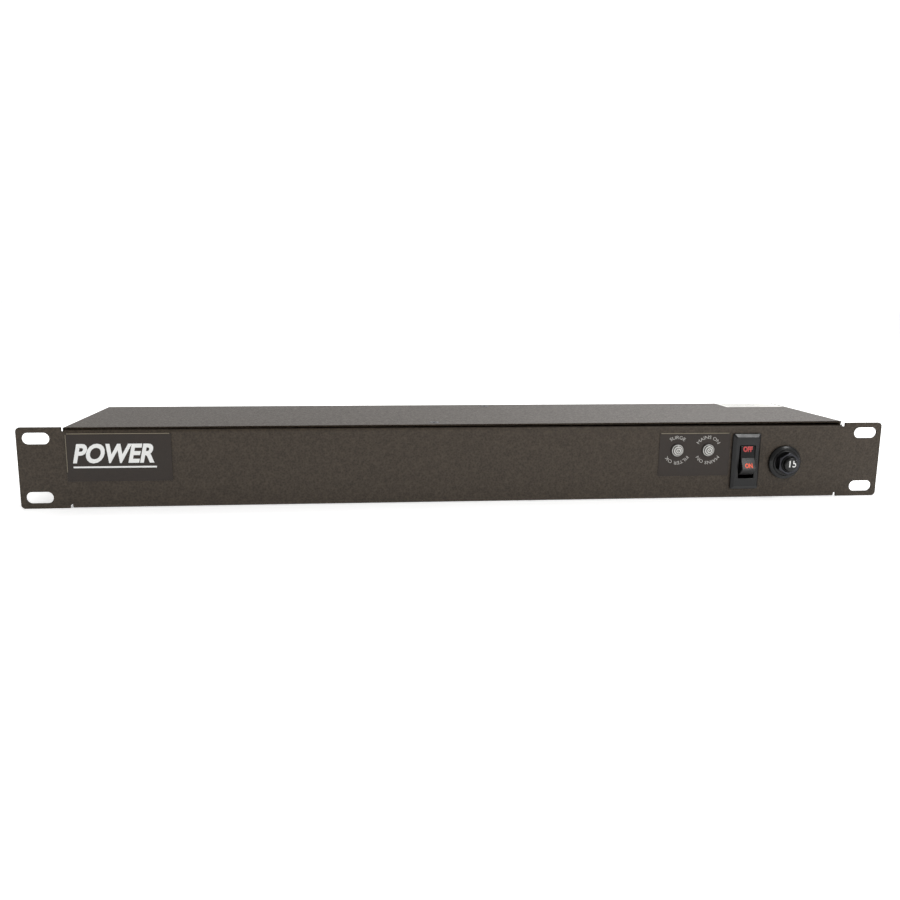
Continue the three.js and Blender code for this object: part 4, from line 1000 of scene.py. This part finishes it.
def flared(outline_at, front, rear, lead=0.7, flare=0.45):
    """A slot through a face at depth rear, with a chamfered mouth."""
    over = 0.3
    steps = ((front, 0), (rear - lead, 0), (rear + over, flare * (1 + over / lead)))
    return loft([[(x, depth, z) for x, z in outline_at(grow)] for depth, grow in steps])


def earth_outline(centre_z, grow):
    """The earth pin's hole: flat below and round above."""
    reach = 2.5 + grow
    foot = centre_z - 2.8 - grow
    turns = [math.radians(a) for a in range(0, 181, 15)]
    arc = [(reach * math.cos(t), centre_z + 0.3 + reach * math.sin(t)) for t in turns]
    return [(-reach, foot), (reach, foot)] + arc


REAR_SEAT = 84.05
BLADE_X = 6.35
BLADE_Z = 4.5
EARTH_DROP = 11.9


def build_outlet(node):
    low, high = box(node)
    centre = middle(node)
    face = high.y
    start = low.y - PAST
    flange = prism(rectangle(0, 0, 17.5, 14, 2, 6), (REAR_SEAT, face))
    body = prism(rectangle(0, 0, 15.8, 12.2, 0.6), (low.y, 85))
    raised = prism(rectangle(0, 0, 14.2, 11.2, 1.6), (face - 0.5, face))
    groove = cut(prism(rectangle(0, 0, 15.0, 12.0, 1.9), (face - 0.35, face + PAST)), raised)
    slots = [
        flared(lambda grow: rectangle(-BLADE_X, BLADE_Z, 1.1 + grow, 3.45 + grow), start, face),
        flared(lambda grow: rectangle(BLADE_X, BLADE_Z, 1.1 + grow, 4.2 + grow), start, face),
        flared(lambda grow: earth_outline(BLADE_Z - EARTH_DROP, grow), start, face),
    ]
    wedge = [(15.5, 82.6), (16.9, 82.6), (15.8, 75.8), (15.5, 75.8)]
    catches = [prism([(side * x, y) for x, y in wedge], (-4, 4), "Z") for side in (-1, 1)]
    shape = cut(fused(body, flange, *catches), groove, *slots)
    piece(node, moved(softened(shape, 0.22), along(centre.x, 0, centre.z)))


def build_inlet():
    centre = middle("inlet_body")
    low, high = box("inlet_body")
    face = high.y
    flange = prism(rectangle(0, 0, 25, 11.2, 4, 8), (REAR_SEAT, face))
    body = prism(rectangle(0, 0, 13.6, 9.6, 0.8), (low.y, 85))
    width, height, slant = 12.3, 8.3, 4
    outline = rounded([
        (-width, -height), (width, -height), (width, height - slant), (width - slant, height),
        (slant - width, height), (-width, height - slant),
    ], 0.8)
    well = prism(outline, (67, face + PAST))
    pins = ((-7, -2), (7, -2), (0, 2))
    holes = [prism(rectangle(x, z, 1.1, 2.1), (low.y - PAST, 68)) for x, z in pins]
    span = (REAR_SEAT - PAST, face + PAST)
    screws = [prism(circle(SCREW_HOLE, (side * INLET_SCREW_X, 0), 32), span) for side in (-1, 1)]
    shape = cut(fused(body, flange), well, *holes, *screws)
    piece("inlet_body", moved(softened(shape, 0.35, 3), along(centre.x, 0, centre.z)))
    for node in ("inlet_pin_line", "inlet_pin_neutral", "inlet_pin_ground"):
        pin = middle(node)
        start, end = box(node)[0].y, box(node)[1].y
        shoulder = 62
        loops = []
        for depth, half_x, half_z in (
            (start, 0.4, 2), (shoulder, 0.4, 2), (shoulder + 0.01, 1, 2), (end - 1.6, 1, 2),
            (end - 0.3, 0.55, 1.3), (end, 0.3, 1.0),
        ):
            loops.append([(x, depth, z) for x, z in rectangle(0, 0, half_x, half_z, 0.2, 3)])
        piece(node, moved(softened(loft(loops), 0.1), along(pin.x, 0, pin.z)))


def build_stud():
    centre = middle("ground_stud")
    spot = along(centre.x, 0, centre.z)
    low, high = box("ground_stud")
    shank, head, head_rear = 2.4, 4, low.y + 2.15
    thread = threaded(shank, (84.2, high.y - 0.9), 0.7, 0.22)
    stud = turned([
        (0, low.y), (head, low.y), (head, head_rear), (shank, head_rear), (shank, 84.1), *thread,
        (2.3, high.y - 0.7), (1.7, high.y), (0, high.y),
    ], steps=40)
    piece("ground_stud", moved(softened(stud, 0.05, 1, 60), spot))
    depths = (box("ground_nut")[0].y, box("ground_nut")[1].y)
    piece("ground_nut", moved(softened(nut(8, 2.5, depths), 0.1), spot))


# ---- Pieces inside, refined from their CAD shapes ----

INSIDE_EDGES = {
    "indicator_holder_1": 0.15, "indicator_holder_2": 0.15, "switch_terminal_line": 0.12,
    "switch_terminal_load": 0.12, "switch_plunger": 0.1, "switch_contact_arm": 0.12,
    "breaker_bimetal": 0.1, "breaker_terminal_line": 0.12, "breaker_terminal_load": 0.12,
    "line_bus_bar": 0.1, "neutral_bus_bar": 0.1, "ground_bus_bar": 0.1, "surge_board": 0.15,
    "board_guide_left": 0.25, "board_guide_right": 0.25, "varistor_1": 0.3, "varistor_2": 0.3,
}
WIRES = [node for node in BODY_OF if node.startswith("wire_")]
SUBDIVISION_LOSS = {**dict.fromkeys(WIRES, 0.1), "breaker_spring": 0.04}


def build_inside():
    for node, edge in INSIDE_EDGES.items():
        piece(node, softened(cad_shape(node), edge))
    for node, loss in SUBDIVISION_LOSS.items():
        shape = bmesh.new()
        shape.from_mesh(frame["nodes"][node].data)
        moved(shape, TO_MILLIMETRES)
        bmesh.ops.remove_doubles(shape, verts=shape.verts, dist=0.001)
        bmesh.ops.dissolve_limit(shape, angle_limit=0.01, verts=shape.verts, edges=shape.edges)
        shape = modified(shape, "SUBSURF", levels=2, render_levels=2)
        shape.normal_update()
        swell = {vert: vert.normal * loss for vert in shape.verts}
        for vert, step in swell.items():
            vert.co += step
        piece(node, shape)


# ---- Stage, light and camera ----

CAMERA_YAW = 0.1143
CAMERA_PITCH = 0.1827
CAMERA_ROLL = 0.0117
CAMERA_OFFSET = Vector((-0.06465, -0.44804, 0.09119))
LENS = 33.117


def build_camera():
    """The camera stands to the left of the panel's middle and above it."""
    panel = Vector((0, PANEL_Y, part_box("chassis_tray")[1].z / 2))
    data = bpy.data.cameras.new("camera")
    data.sensor_width = 36
    data.lens = LENS
    camera = bpy.data.objects.new("camera", data)
    bpy.context.scene.collection.objects.link(camera)
    turn = (
        Matrix.Rotation(CAMERA_ROLL, 3, "Y") @ Matrix.Rotation(CAMERA_PITCH, 3, "X")
        @ Matrix.Rotation(CAMERA_YAW, 3, "Z")
    )
    right, forward, up = turn
    axes = Matrix((right, up, -forward)).transposed().to_4x4()
    camera.matrix_world = Matrix.Translation(panel + CAMERA_OFFSET) @ axes
    bpy.context.scene.camera = camera


def area_light(name, place, target, size, power):
    data = bpy.data.lights.new(name, "AREA")
    data.shape = "DISK"
    data.size = size
    data.energy = power
    light = bpy.data.objects.new(name, data)
    bpy.context.scene.collection.objects.link(light)
    light.location = place
    light.rotation_euler = (Vector(target) - Vector(place)).to_track_quat("-Z", "Y").to_euler()


FLOOR_GLOW = 0.42
ROOM_FRONT = 0.35
ROOM_REAR = 0.92


def build_stage():
    floor_mesh = bpy.data.meshes.new("floor")
    disc = bmesh.new()
    bmesh.ops.create_circle(disc, cap_ends=True, radius=12, segments=96)
    disc.to_mesh(floor_mesh)
    floor = bpy.data.objects.new("floor", floor_mesh)
    bpy.context.scene.collection.objects.link(floor)
    nodes = Nodes("floor")
    shade = nodes.spread(nodes.noise(400.0, 2.0), 0.0, 1.0)
    nodes.link("Base Color", nodes.blend(shade, linear(248, 248, 248), linear(252, 252, 252)))
    nodes.shader.inputs["Roughness"].default_value = 0.9
    nodes.shader.inputs["Emission Color"].default_value = (1, 1, 1, 1)
    nodes.shader.inputs["Emission Strength"].default_value = FLOOR_GLOW
    floor_mesh.materials.append(nodes.material)

    world = bpy.data.worlds.new("studio")
    bpy.context.scene.world = world
    world.use_nodes = True
    tree = world.node_tree
    tree.nodes.clear()
    add = tree.nodes.new
    path, output, mix = add("ShaderNodeLightPath"), add("ShaderNodeOutputWorld"), add("ShaderNodeMixShader")
    way, split, rise = add("ShaderNodeTexCoord"), add("ShaderNodeSeparateXYZ"), add("ShaderNodeMapRange")
    room, seen = add("ShaderNodeBackground"), add("ShaderNodeBackground")
    rise.inputs["From Min"].default_value = -0.6
    rise.inputs["From Max"].default_value = 0.8
    rise.inputs["To Min"].default_value = ROOM_FRONT
    rise.inputs["To Max"].default_value = ROOM_REAR
    seen.inputs["Strength"].default_value = 1.1
    for background in (room, seen):
        background.inputs["Color"].default_value = (1, 1, 1, 1)
    for start, end in (
        (way.outputs["Generated"], split.inputs[0]), (split.outputs["Y"], rise.inputs["Value"]),
        (rise.outputs[0], room.inputs["Strength"]), (path.outputs["Is Camera Ray"], mix.inputs[0]),
        (room.outputs[0], mix.inputs[1]), (seen.outputs[0], mix.inputs[2]),
        (mix.outputs[0], output.inputs[0]),
    ):
        tree.links.new(start, end)

    target = (0.1, 0, 0.02)
    area_light("key", (0.7, 0.9, 1.3), target, 1.0, 16)
    area_light("top", (0.82, -0.56, 1.28), target, 0.4, 7)
    area_light("front", (0.82, -1.19, 0.76), target, 0.35, 3)
    bpy.context.scene.view_settings.view_transform = "Standard"


build_camera()
build_stage()
build_tray()
build_cover()
build_screws()
build_name_plate()
build_indicator_label()
build_rating_label()
for number in (1, 2):
    build_lens(f"indicator_lens_{number}")
    build_lamp(f"indicator_lamp_{number}")
build_switch_housing()
build_rocker()
build_breaker()
for outlet in OUTLETS:
    build_outlet(outlet)
build_inlet()
build_stud()
build_inside()
